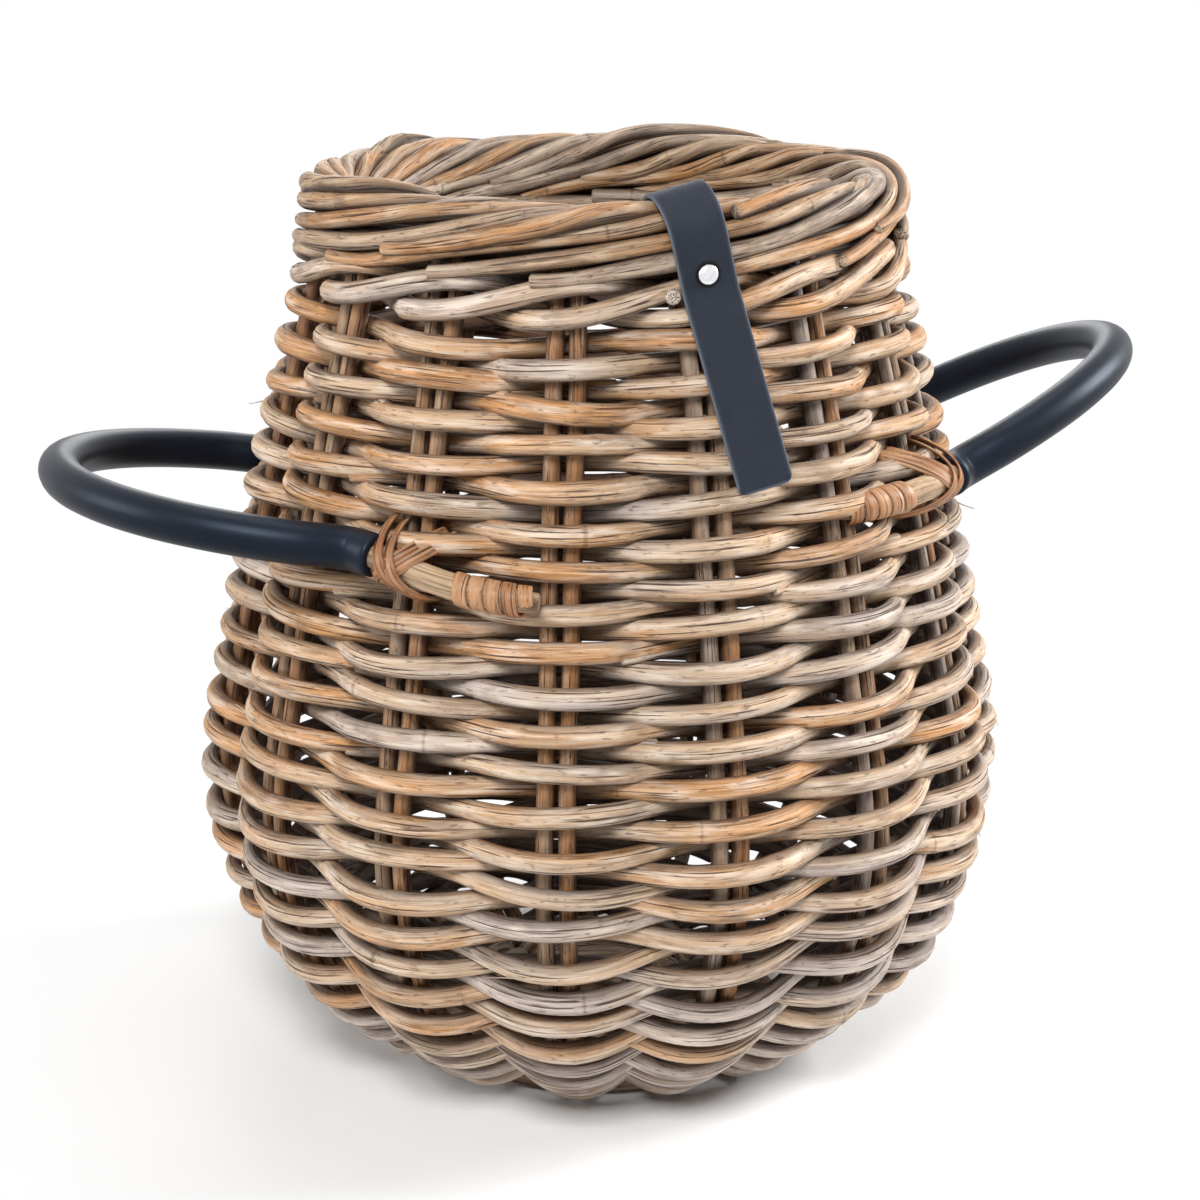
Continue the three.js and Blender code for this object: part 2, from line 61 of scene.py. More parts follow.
# %% Camera
look_at = np.array([0.0, 0.0, 0.2254])
camera_distance = 1.387
camera_azimuth, camera_pitch = math.radians(-16.0), math.radians(16.3)
away = np.array([math.sin(camera_azimuth) * math.cos(camera_pitch),
                 -math.cos(camera_azimuth) * math.cos(camera_pitch),
                 math.sin(camera_pitch)])
lens = bpy.data.cameras.new("camera")
lens.lens, lens.sensor_width = 82.5, 36.0
camera = bpy.data.objects.new("camera", lens)
camera.location = look_at + camera_distance * away
camera.rotation_euler = (math.pi / 2 - camera_pitch, 0.0, camera_azimuth)
bpy.context.scene.collection.objects.link(camera)
bpy.context.scene.camera = camera
print("camera at", [round(x, 3) for x in camera.location])

# %% [markdown]
# ## One cane
# A cane is a circle carried along a path. Three directions go with each point of the path: the
# way it runs, a chosen way out, and the way across. The circle lies in the last two, so a cane
# never twists by accident. Curves with a bevel could draw the same tube, but a surface made here
# can also swell, flatten and keep its own straightened coordinates, which the grain follows.

# %% Distances and directions
MM = 0.001
UP = np.array([0, 0, 1.0])


def unit(vectors):
    """Each vector divided by its length."""
    return vectors / np.linalg.norm(vectors, axis=-1, keepdims=True)


def travelled(path):
    """How far each point lies from the first one, measured along the path."""
    return np.r_[0.0, np.cumsum(np.linalg.norm(np.diff(path, axis=0), axis=1))]


def directions(path, outward):
    """Along, out and across for each point: out is the given direction less its part along."""
    along = unit(np.gradient(path, axis=0))
    outward = np.broadcast_to(outward, path.shape)
    out = unit(outward - along * np.sum(outward * along, axis=1, keepdims=True))
    return along, out, np.cross(along, out)


corner = np.array([[0, 0], [30, 0], [30, 40]])
print("travelled round a corner:", travelled(corner).tolist())

# %% Rings and faces
def circle(sides):
    """The angles of a circle's points: point j lies at 2 pi j / sides."""
    return 2 * np.pi * np.arange(sides) / sides


def carried(path, out, across, radius, turn, tall=1.0):
    """Point j of ring i: path + radius (cos t out + tall sin t across)."""
    ring = out[:, None] * np.cos(turn)[:, None] + across[:, None] * np.sin(turn)[:, None] * tall
    return (path[:, None] + ring * radius[:, None, None]).reshape(-1, 3)


def straightened(travel, radius, turn):
    """The same rings on a straight line: two coordinates round it, the third along it."""
    return np.stack([radius[:, None] * np.cos(turn), radius[:, None] * np.sin(turn),
                     np.repeat(travel[:, None], len(turn), axis=1)], axis=-1).reshape(-1, 3)


def skin_faces(rings, sides, closed=False):
    """Four-sided faces from ring to ring. Closed joins the last ring to the first as well."""
    i, j = np.meshgrid(np.arange(rings if closed else rings - 1), np.arange(sides), indexing="ij")
    a, b = i * sides + j, i * sides + (j + 1) % sides
    onward = ((i + 1) % rings - i) * sides
    return np.stack([a, b, b + onward, a + onward], axis=-1).reshape(-1, 4)


def end_faces(rings, sides):
    """Triangles that close both ends. Their two middle points come after all the rings."""
    k, n, last = np.arange(sides), rings * sides, (rings - 1) * sides
    return np.vstack([np.stack([np.full(sides, n), (k + 1) % sides, k], axis=-1),
                      np.stack([np.full(sides, n + 1), last + k, last + (k + 1) % sides], axis=-1)])


print("a tube of 4 rings with 12 sides has", len(skin_faces(4, 12)), "faces round it")

# %% The cane
def cane(path, outward, radius, sides=12, tall=1.0, tone=0.5, nook=0.0, seam=0.0, back=0.0,
         knots=(), start=0.0):
    """A cane along the path: a circle carried along it, stretched across by tall. A chamfered
    ring and a middle point close each cut end. Knots are places along the cane, in mm, where it
    swells a little, as rattan does. The nook tells how far a ring's colour is darkened towards the
    deep tone: painted shade, with some grime. The seam adds this painted shade on both flanks, as
    the fourth power of sin t, and back adds it on the side turned away from out, as -cos t. Start
    is the place in the grain at which the cane begins."""
    chamfer, cut_size, bulge = 0.9, 0.78, 0.2
    knot_length, knot_swell = 2.6, 0.07
    path = np.asarray(path, float)
    travel = travelled(path)
    radius = np.broadcast_to(np.asarray(radius, float), travel.shape).copy()
    knot = np.zeros_like(travel)
    for place in knots:
        knot = np.maximum(knot, np.exp(-((travel - place) / knot_length) ** 2))
    radius *= 1 + knot_swell * knot
    along, out, across = directions(path, outward)
    path = np.vstack([path[0] - along[0] * chamfer, path, path[-1] + along[-1] * chamfer])
    out, across = [np.vstack([d[:1], d, d[-1:]]) for d in (out, across)]
    travel = np.r_[travel[0] - chamfer, travel, travel[-1] + chamfer]
    radius = np.r_[radius[0] * cut_size, radius, radius[-1] * cut_size]
    rings, turn = len(path), circle(sides)
    ends = np.array([path[0] - along[0] * bulge, path[-1] + along[-1] * bulge])
    end_straight = [[0, 0, travel[0] + start], [0, 0, travel[-1] + start]]
    # Painted shade, with some grime: darker flanks where the rows touch and a darker inner side.
    shade_and_grime = seam * np.sin(turn) ** 4 + back * np.clip(-np.cos(turn), 0, 1)
    tone, nook = [np.pad(np.broadcast_to(x, rings - 2), 1, mode="edge") for x in (tone, nook)]
    cut = np.pad(np.zeros(rings - 2), 1, constant_values=1.0)
    tone, nook, knot, cut = [np.r_[np.repeat(x, sides), x[[0, -1]]]
                             for x in (tone, nook, np.pad(knot, 1), cut)]
    nook = np.clip(nook + np.r_[np.tile(shade_and_grime, rings), shade_and_grime[[0, -1]]], 0, 1)
    return {"points": np.vstack([carried(path, out, across, radius, turn, tall), ends]),
            "straight": np.vstack([straightened(travel + start, radius, turn), end_straight]),
            "quads": skin_faces(rings, sides), "fans": end_faces(rings, sides),
            "tone": tone, "nook": nook, "knot": knot, "cut": cut,
            "travel": travel, "girth": 2 * np.pi * float(radius.max()), "sides": sides}


straight_cane = cane([[0, 0, 0], [50, 0, 0], [100, 0, 0]], UP, 4)
print("one straight cane has", len(straight_cane["points"]), "points")

# %% [markdown]
# ## From canes to a piece
# One piece of the model is often several canes: a weaver is spliced from a few lengths. They go
# into one mesh. Each point also keeps some numbers for the material: where it lies on the
# straightened cane, the tone of that cane, how much painted shade, with some grime, it gets in its
# nook, and whether it is on a cut end. The skins are laid out flat as well, like bark peeled off
# and laid in rows, so that a texture can be painted on them without overlaps.

# %% Lay the skins out flat
def bark_rows(canes):
    """A flat layout: the canes' skins end to end, cut into rows of equal width. Along is the
    distance travelled, up is the way round. The cut ends lie in a last row."""
    gap, spare, filled = 4, 0.94, 0.92
    girth = max(c["girth"] for c in canes) * 1.08
    total = sum(c["travel"][-1] - c["travel"][0] + gap for c in canes)
    width = max(math.sqrt(total * girth), 60.0)
    rows = math.ceil(total / (width * spare)) + 1
    size = max(width * 1.02, rows * girth)
    step = min(0.4 * girth, width / (2 * len(canes)))
    quad_uv, fan_uv, begun = [], [], 0.0
    for c in canes:
        sides, travel = c["sides"], c["travel"] - c["travel"][0] + begun
        row = np.floor(travel[:-1] / (width * spare))
        near, far = [x - row * width * spare for x in (travel[:-1], travel[1:])]
        low = (np.arange(sides) / sides)[None, :] * girth * filled + row[:, None] * girth
        high = low + girth * filled / sides
        near, far = [np.repeat(x[:, None], sides, axis=1) for x in (near, far)]
        pairs = (near, low), (near, high), (far, high), (far, low)
        corners = np.stack([np.stack(pair, -1) for pair in pairs], axis=2)
        quad_uv.append(corners.reshape(-1, 2))
        begun = travel[-1] + gap
        spoke = np.stack([np.cos(circle(sides)), np.sin(circle(sides))], -1) * step * 0.35
        onward = np.roll(spoke, -1, axis=0)
        for rim in ((onward, spoke), (spoke, onward)):
            middle = np.array([step * (0.5 + len(fan_uv)), (rows - 0.6) * girth])
            fan = np.stack([np.zeros_like(spoke), *rim], axis=1) + middle
            fan_uv.append(fan.reshape(-1, 2))
    return np.vstack(quad_uv + fan_uv) / size


print("flat layout of one cane:", len(bark_rows([straight_cane])), "corners")

# %% Join canes into a mesh
def mesh_piece(name, points, quads, values, fans=(), layout=None):
    """One object at the origin from points in mm, with its named numbers as point attributes.
    The quads are shaded smooth, the fans of the ends flat."""
    mesh = bpy.data.meshes.new(name)
    faces = [*quads.tolist(), *np.asarray(fans).tolist()]
    mesh.from_pydata((np.asarray(points) * MM).tolist(), [], faces)
    mesh.polygons.foreach_set("use_smooth", np.arange(len(faces)) < len(quads))
    for label, numbers in values.items():
        numbers = np.asarray(numbers, np.float32)
        kind, field = ("FLOAT_VECTOR", "vector") if numbers.ndim == 2 else ("FLOAT", "value")
        attribute = mesh.attributes.new(label, kind, "POINT")
        attribute.data.foreach_set(field, numbers.reshape(-1))
    if layout is not None:
        skin_map = mesh.uv_layers.new(name="OFBake")
        skin_map.data.foreach_set("uv", np.asarray(layout, np.float32).reshape(-1))
    mesh.update()
    thing = bpy.data.objects.new(name, mesh)
    bpy.context.scene.collection.objects.link(thing)
    return thing


def cane_piece(name, canes):
    """Joins canes into one mesh: their points in turn, with each cane's faces moved up to match."""
    counts = np.cumsum([0] + [len(c["points"]) for c in canes])
    quads, fans = [np.vstack([c[kind] + k for c, k in zip(canes, counts)])
                   for kind in ("quads", "fans")]
    values = {"straight": np.vstack([c["straight"] for c in canes]) * MM}
    for label in ("tone", "nook", "knot", "cut"):
        values[label] = np.concatenate([c[label] for c in canes])
    points = np.vstack([c["points"] for c in canes])
    return mesh_piece(name, points, quads, values, fans, bark_rows(canes))


# %% [markdown]
# ## The wall line
# Turned about the upright axis, one line gives the pear shape: narrow foot, round belly, tall
# neck. It is a spline through eight points, measured off the photograph's outline. Places on it
# are given by the distance travelled from the foot, because a weaver advances by its own
# thickness for each row, wherever it is on the wall.

# %% Wall line
wall_knots = np.array([[97.0, 9.8], [137.7, 37.6], [171.8, 78.1], [189.2, 148.0],
                       [175.6, 231.5], [154.5, 328.7], [135.6, 401.9], [132.3, 432.0]])


def through_knots(knots, count):
    """A Catmull-Rom curve: between two knots it leaves each along the line that joins that
    knot's neighbours, as a cubic in the share of the way between them."""
    place = np.linspace(0, len(knots) - 1, count)
    i = np.minimum(place.astype(int), len(knots) - 2)
    w = (place - i)[:, None]
    p0, p1 = knots[np.maximum(i - 1, 0)], knots[i]
    p2, p3 = knots[i + 1], knots[np.minimum(i + 2, len(knots) - 1)]
    v0, v1 = (p2 - p0) / 2, (p3 - p1) / 2
    return ((2 * (p1 - p2) + v0 + v1) * w ** 3 + (3 * (p2 - p1) - 2 * v0 - v1) * w ** 2
            + v0 * w + p1)


def on_line(place, travel, line):
    """The line's point at this distance travelled, straight between its own points."""
    return np.stack([np.interp(place, travel, column) for column in line.T], axis=-1)


wall_line = through_knots(wall_knots, 1401)
wall_travel = travelled(wall_line)
wall_run = unit(np.gradient(wall_line, axis=0))


def wall(distance, offset=0.0):
    """Radius and height of the wall at this distance from the foot, moved out by the offset, and
    the outward normal: the line's direction turned by a quarter."""
    r, z = on_line(distance, wall_travel, wall_line).T
    run = unit(on_line(distance, wall_travel, wall_run))
    return r + run[..., 1] * offset, z - run[..., 0] * offset, run[..., 1], -run[..., 0]


def around(angle, radius, height):
    """The point at this angle about the upright axis."""
    return np.stack([radius * np.cos(angle), radius * np.sin(angle), height + 0 * angle], axis=-1)


print("wall line", round(float(wall_travel[-1]), 1), "mm long; widest",
      round(float(wall_line[:, 0].max()), 1))

# %% [markdown]
# ## The weave
# Fifteen pairs of stakes stand round the wall. One cane after another winds up it in a long
# spiral, outside one pair and inside the next. Fifteen is odd, so each turn comes out on the
# other side of the pairs below. The in and out could be a plain cosine, but stiff canes stay
# flat over a pair and cross quickly between two, so the cosine is pressed flat at its ends.
# A cane also sags a little where it lies outside. Painted shade, with some grime, darkens the
# seams, the inner side and the passes that lie inside.

# %% Numbers of the weave
stake_count, first_stake = 15, 8.0
stake_step = 360.0 / stake_count
stake_radius, stake_side = 4.15, 5.05
weaver_radius = 4.55
pass_out = stake_radius + weaver_radius
first_row = 5.0
border_height, border_foot, rim_gap = 432.0, 419.0, 8.0
top_wale = np.interp(border_foot - rim_gap, wall_line[:, 1], wall_travel) - 3.8
wale_pitch, wale_rods = 8.6, 3
rows_end = top_wale - wale_pitch * wale_rods
row_count = int((rows_end - first_row) // 8.8)
row_pitch = (rows_end - first_row) / row_count


def stake_angle(u):
    """The angle of place u, counted in stakes: whole numbers are at the pairs."""
    return np.radians(first_stake + stake_step * u)


print(row_count, "rows,", round(float(row_pitch), 2), "mm apart")

# %% Waves, wandering lines and tapers
def flat_wave(turns, press=0.7):
    """+1 at whole turns and -1 half way between, pressed flat at both: tanh of a cosine."""
    return np.tanh(press * np.cos(2 * np.pi * turns)) / math.tanh(press)


def wander(x, seed, size, slow, fast, waves=5):
    """A smooth random line: a few sine waves with random lengths, phases and heights, added."""
    draw = np.random.default_rng(seed)
    pace, phase = draw.uniform(slow, fast, waves), draw.uniform(0, 2 * np.pi, waves)
    height = draw.uniform(0.5, 1.0, waves) * size / math.sqrt(waves)
    return np.sum(height[:, None] * np.sin(2 * np.pi * pace[:, None] * x + phase[:, None]), axis=0)


def shared_drift(u):
    """Rows sag and rise together round the wall, and the pattern turns slowly from row to row."""
    turn = 2 * np.pi * u / stake_count
    return (1.3 * np.sin(3 * turn + 0.13 * turn) + 0.9 * np.sin(5 * turn + 1.9 - 0.21 * turn)
            + 0.7 * np.sin(7 * turn + 4.0 + 0.17 * turn))


def weathering(angle, height):
    """Warmer towards the neck and the left, greyer low down on the right."""
    return 0.44 * (height - 190) / 200 - 0.12 * np.cos(angle)


def taper(x, length):
    """0 at the end, 1 from this length on, smooth between."""
    s = np.clip(x / length, 0, 1)
    return s * s * (3 - 2 * s)


print("pressed wave at 0, 1/8 and 1/4 turn:", flat_wave(np.array([0, 0.125, 0.25])).round(2))

# %% Room for the handles
lying_places = ((-53, 305.5), (53, 266.5), (233, 285.0), (127, 279.0))
stand_out, bell_place, bell_width = 5.0, 10, 4.5


def beside_handles(angle, height):
    """How far the canes just above and below a handle's lying end stand out, so that it beds
    between them: a bell curve in height, 10 mm off the end's line, faded out to both sides. The
    four ends are given by the angle of their middle and the height of their line."""
    push = np.zeros_like(angle)
    for middle, line in lying_places:
        apart = np.abs((np.degrees(angle) - middle + 180) % 360 - 180)
        bell = np.exp(-((np.abs(height - line) - bell_place) / bell_width) ** 2)
        push += stand_out * (1 - taper(apart - 7, 12)) * bell
    return push


print("most that a cane stands out there:", stand_out, "mm")

# %% One weaver
steps_per_stake = 14
splice_length, splice_shift = 1.1, 2.1
row_stretch = 1.008
sag_share = 0.45


def any_start(draw):
    """A random place in the grain, so that no two canes are alike."""
    return float(draw.uniform(0, 9000))


def weaver_strand(begin, finish, seed, starts_out, ends_out):
    """A cane over the stake crossings from begin to finish. Height on the wall grows evenly with
    the crossing, plus the shared drift and its own wander. Its ends thin out and lie beside the
    next cane's: the old one above, the new one below. Between two pairs it sags by a share of
    the height of the arc there. A few fibres stand off it."""
    draw = np.random.default_rng(seed)
    u = np.arange(begin, finish + 1e-9, 1 / steps_per_stake)
    inner, outer = taper(u - begin, splice_length), taper(finish - u, splice_length)
    foot = taper(u / stake_count, 2.5)
    wave = flat_wave(u / 2)
    rise = (shared_drift(u) + wander(u, seed, 1.0, 0.12, 0.6)) * (0.25 + 0.75 * foot)
    rise += -splice_shift * (1 - inner) + splice_shift * (1 - outer) - 0.9 * wave
    outside = np.clip(wave, 0, 1)
    distance = first_row + (row_pitch * u / stake_count) * row_stretch + rise
    arc_height = wall(distance)[0] * math.radians(stake_step / 2) ** 2 / 2
    sag = arc_height * sag_share * (1 - wave ** 2)
    lift = 0.5 * (1 - inner) * starts_out + 0.5 * (1 - outer) * ends_out
    angle = stake_angle(u)
    offset = wave * (pass_out + lift) + wander(u, seed + 1, 0.25, 0.2, 0.7) - sag
    offset += outside * beside_handles(angle, wall(distance)[1])
    r, z, nr, nz = wall(distance, offset)
    path, outward = around(angle, r, z), around(angle, nr, nz)
    thick = weaver_radius * draw.uniform(0.92, 1.08) * (1 + wander(u, seed + 2, 0.05, 0.1, 0.5))
    thick *= (0.70 + 0.30 * inner) * (0.70 + 0.30 * outer)
    thick *= 0.98 + 0.04 * outside
    knots = np.cumsum(draw.uniform(130, 260, 12)) - draw.uniform(0, 120)
    knots = knots[knots < travelled(path)[-1]]
    tone = np.clip(draw.beta(1.6, 1.6) + wander(u, seed + 3, 0.10, 0.03, 0.2), 0, 1)
    tone = np.clip(tone + weathering(angle, z), 0, 1)
    # The passes that lie inside get a nook, and seam and back darken the flanks and inner side:
    # painted shade, with some grime.
    strand = cane(path, outward, thick, tall=1.1, tone=tone, knots=knots, seam=0.75, back=0.8,
                  nook=0.55 * np.clip(-wave, 0, 1) ** 2, start=any_start(draw))
    loose = int(draw.integers(0, 3))
    return [strand] + splinters(path[wave > 0], outward[wave > 0], seed + 7, loose)


def splinters(path, outward, seed, count):
    """Fibres that have sprung loose: each leaves the cane's skin at a random point and bends
    outwards as the square of the distance along it, thinning to its tip. Near the floor they
    have worn off."""
    draw = np.random.default_rng(seed)
    along = unit(np.gradient(path, axis=0))
    loose = []
    for i in draw.integers(8, len(path) - 8, count):
        way = along[i] * draw.choice([-1, 1])
        reach = np.linspace(0, draw.uniform(8, 22), 7)[:, None]
        height = 0.004 * draw.uniform(0.6, 1.8) * reach ** 2 + 0.03 * reach
        lean = np.cross(along[i], outward[i]) * draw.uniform(-0.5, 0.5)
        root = path[i] + outward[i] * (weaver_radius - 0.3) + lean * 4
        if root[2] < 60:
            continue
        fibre = root + way * reach + outward[i] * height + lean * reach * 0.3
        loose.append(cane(fibre, outward[i], np.linspace(0.42, 0.16, 7), sides=5, tone=0.3,
                          start=any_start(draw)))
    return loose


short_strand = weaver_strand(0, 8, 1, 0, 0)[0]
print("a weaver over eight stakes is", round(float(short_strand["travel"][-1])), "mm long")

# %% Weave nine long canes
long_canes, overlap = 9, 0.42


def cane_split(k):
    """The crossing, always behind a pair, at which one of the long canes meets the next."""
    return 2 * round(k * row_count * stake_count / (2 * long_canes)) + 1


weavers = []
for k in range(long_canes):
    draw = np.random.default_rng(100 + k)
    strands, begin = [], cane_split(k)
    while begin < cane_split(k + 1):
        finish = min(begin + 2 * int(draw.integers(4, 9)), cane_split(k + 1))
        if cane_split(k + 1) - finish < 6:
            finish = cane_split(k + 1)
        out = draw.random(2) < 0.35
        first, last = begin - (overlap + 0.2 * out[0]), finish + (overlap + 0.2 * out[1])
        strands += weaver_strand(first, last, 1000 * (k + 1) + begin, out[0], out[1])
        begin = finish
    piece = cane_piece(f"woven_cane_{k + 1}", strands)
    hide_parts(f"weaver_{k + 1:02d}")
    weavers.append(piece)
print("weaver canes:", len(weavers), "faces:", sum(len(w.data.polygons) for w in weavers))

# %% [markdown]
# ## Waling
# Under the border three rods run together. Each passes outside two pairs and inside the third,
# and they take turns. A rod comes out low and climbs across its two pairs before it dives in,
# so the band looks like three long strands that lie slanted over each other. One clipped end
# stands out left of the strap.

# %% Waling rods
wale_steps, wale_radius = 18, 5.0
wale_climb = wale_pitch * 0.86 * 1.1547
wale_joints = (0, 6, 11, 15)


def wale_rod(rod):
    """Closed round the wall. With v the angle in its cycle of three pairs, the offset is a
    flattened -cos v and the height is -sin v: low where it comes out, high where it goes in."""
    u = np.arange(stake_count * wale_steps + 1) / wale_steps
    v = 2 * np.pi * (u + rod) / wale_rods
    wave = np.tanh(3.0 * (0.3 - np.cos(v)))
    turn = 2 * np.pi * u / stake_count
    rise = (-wale_climb * np.sin(v) + 0.5 * np.sin(4 * turn + rod)
            + 0.4 * np.sin(7 * turn + 2 * rod))
    distance = top_wale - wale_pitch + 2.6 + rise
    r, z, nr, nz = wall(distance, wave * (pass_out + 0.2))
    angle = stake_angle(u)
    return u, around(angle, r, z), around(angle, nr, nz), wave


for rod in range(wale_rods):
    draw = np.random.default_rng(40 + rod)
    whole = wale_rod(rod)
    strands = []
    for begin, finish in zip(wale_joints[:-1], wale_joints[1:]):
        u, path, outward, wave = [x[begin * wale_steps:finish * wale_steps + 1] for x in whole]
        steps = np.arange(len(u))
        thin = 0.8 + 0.2 * taper(steps, 14) * taper(steps[::-1], 14)
        uneven = 1 + wander(u, 50 + rod, 0.03, 0.1, 0.4)
        thick = wale_radius * draw.uniform(0.95, 1.04) * thin * uneven
        knots = np.cumsum(draw.uniform(130, 240, 5))
        # The passes that lie inside get a nook, and seam and back darken the flanks and inner side:
        # painted shade, with some grime.
        strands.append(cane(path, outward, thick, tone=0.1 + 0.9 * draw.beta(1.6, 1.6), seam=0.75,
                            back=0.8, nook=0.55 * np.clip(-wave, 0, 1), knots=knots,
                            start=any_start(draw)))
    if rod == 0:
        stub = around(np.full(5, np.radians(266.5)), np.linspace(134, 148, 5),
                      np.linspace(407, 405, 5))
        strands.append(cane(stub, UP, 3.7, tone=0.3, nook=0.2))
    piece = cane_piece(f"waling_rod_{rod + 1}", strands)
    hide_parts(f"top_wale_rod_{rod + 1}")
    weavers.append(piece)
print("waling rods:", wale_rods, "of", len(wale_joints) - 1, "canes each")

# %% [markdown]
# ## Stakes
# Each stake is one cane bent double: down the wall, in between the two layers of the base, round
# a hairpin and back up beside itself. The two rods of a pair differ in colour, because the
# outside of a bent cane weathers before its inside. The pairs on the left are warmer.

# %% Route of one rod
hairpin_radius, flat_end = 51.1, 95.0
stake_foot = 9.8
stake_top = np.interp(border_foot - 0.3, wall_line[:, 1], wall_travel)


def soften(path, times):
    """Each inner point moves to the mean of itself and its two neighbours, a few times over."""
    path = path.copy()
    for _ in range(times):
        path[1:-1] = (path[:-2] + path[1:-1] + path[2:]) / 3
    return path


def stake_route():
    """Radius, height and outward direction of one rod, from the hairpin out and up the wall."""
    flat_r = np.linspace(hairpin_radius, flat_end, 12)
    distance = np.linspace(1.5, stake_top, 74)
    r, z, nr, nz = wall(distance)
    route = np.stack([np.r_[flat_r, r], np.r_[np.full(12, stake_foot), z]], -1)
    normal = np.stack([np.r_[np.zeros(12), nr], np.r_[-np.ones(12), nz]], -1)
    return soften(route, 3), unit(soften(normal, 3))


print("one rod is", round(float(travelled(stake_route()[0])[-1])), "mm long")

# %% Stake pairs
def stake_pair(index):
    """Both rods and the hairpin in one run. Sideways is the direction round the basket."""
    draw = np.random.default_rng(300 + index)
    route, normal = stake_route()
    angle = stake_angle(index)
    out = np.array([math.cos(angle), math.sin(angle), 0])
    side = np.array([-math.sin(angle), math.cos(angle), 0])
    steps = np.arange(len(route))
    rods = []
    for hand in (1, -1):
        sway = wander(steps, 700 + 2 * index + hand, 0.35, 0.01, 0.06) * taper(steps, 20)
        rods.append(route[:, :1] * out + (hand * stake_side + sway)[:, None] * side
                    + route[:, 1:] * UP)
    turn = np.linspace(0, np.pi, 9)[1:-1, None]
    bend = ((hairpin_radius - stake_side * np.sin(turn)) * out + stake_side * np.cos(turn) * side
            + stake_foot * UP)
    outward = normal[:, :1] * out + normal[:, 1:] * UP
    path = np.vstack([rods[0][::-1], bend, rods[1]])
    outward = np.vstack([outward[::-1], np.tile(-UP, (len(bend), 1)), outward])
    tone = np.r_[np.full(len(route), draw.uniform(0.55, 0.95)), np.full(len(bend), 0.5),
                 np.full(len(route), draw.uniform(0.0, 0.35))]
    tone = np.clip(tone + 0.25 - 0.45 * math.cos(angle), 0, 1)
    thick = stake_radius * (1 + wander(np.arange(len(path)), 900 + index, 0.02, 0.01, 0.08))
    knots = np.cumsum(draw.uniform(110, 210, 7))
    # The nook darkens the whole pair a little and the seam darkens its flanks: painted shade, with
    # some grime.
    return cane(path, outward, thick, tone=tone, nook=0.3, seam=0.6, knots=knots,
                start=any_start(draw))


stakes = []
for index in range(stake_count):
    piece = cane_piece(f"stakes_{index + 1}", [stake_pair(index)])
    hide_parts(f"stake_pair_{index + 1:02d}")
    stakes.append(piece)
print("stake pairs:", len(stakes))

# %% [markdown]
# ## The rolled border
# At the rim the stakes are bent down to the right, over the next ones, and tucked in on the
# inside. What shows is a thick roll: four long rods above each other that climb slowly on the
# outside, cross over the top and end inside in short stubs. Every rod follows the same section
# of the roll, from the outer foot over the top to the inner foot, while it goes round the rim.
# A few more rods lie on top, where the maker has added a piece. On the inside a short rod lies
# between each long one and the next, and six level ones fill the inner foot, on which the stubs
# rest. Three rings in the middle stand for the bent stakes, which lie there out of the light; they
# are darkened nearly to the deep tone, as painted shade.

# %% Section of the roll
rim_radius = 132.3
roll_section = np.array([[11.9, -21.4], [11.3, -15.6], [10.2, -8.6], [8.9, -1.2], [6.6, 5.3],
                         [0.6, 8.4], [-6.2, 5.8], [-9.0, -0.5], [-9.8, -8.0], [-10.2, -15.5],
                         [-10.4, -22.0]])
roll_line = through_knots(roll_section, 400)
roll_travel = travelled(roll_line)
roll_run = unit(np.gradient(roll_line, axis=0))
roll_top, steep_part = 37.5, 17.0
outer_turn, inner_turn, whole_turn = 88.0, 112.0, 160.0
print("section of the roll:", round(float(roll_travel[-1]), 1), "mm round")

# %% One border rod
def border_rod(place, begin, finish, over, size, lift):
    """One rod, from begin to finish in degrees after its stake. Up to 88 degrees it climbs from
    the outer foot of the roll's section to its top, then it goes down inside, steeply up to 112
    degrees. Over is how far it lies on top of its neighbours, and lift is added at its start."""
    draw = np.random.default_rng(500 + round(2 * place))
    degrees = np.linspace(begin, finish, int((finish - begin) * 0.8))
    climb = np.interp(degrees, [-4, outer_turn, inner_turn, whole_turn],
                      [2.0, roll_top, roll_top + steep_part, roll_travel[-1]])
    far, number = degrees / 60, int(place)
    climb = soften(climb[:, None], 14)[:, 0] + wander(far, 530 + number, 1.3, 0.3, 1.4)
    spot, run = [on_line(climb, roll_travel, line) for line in (roll_line, roll_run)]
    normal = unit(np.stack([run[:, 1], -run[:, 0]], -1))
    begun, left = degrees - degrees[0], degrees[-1] - degrees
    depth = over + wander(far, 560 + number, 0.8, 0.4, 1.5)
    depth = depth + lift * (1 - taper(begun, 14)) - 0.8 * over * (1 - taper(left, 25))
    spot = spot + normal * depth[:, None]
    angle = stake_angle(place) + np.radians(5 + degrees)
    path = around(angle, rim_radius + spot[:, 0], border_height + spot[:, 1])
    outward = around(angle, normal[:, 0], normal[:, 1])
    thick = size * draw.uniform(0.94, 1.1) * (0.76 + 0.24 * taper(begun, 22))
    thick = thick * (0.8 + 0.2 * taper(left, 14)) * (1 + wander(far, 580 + number, 0.08, 0.6, 2))
    knots = np.cumsum(draw.uniform(70, 190, 4))
    # Seam and back darken the rod's flanks and inner side: painted shade, with some grime.
    return cane(path, outward, thick, sides=14, tone=draw.beta(1.3, 1.3), nook=0.05, seam=1.0,
                back=0.6, knots=knots, start=any_start(draw))


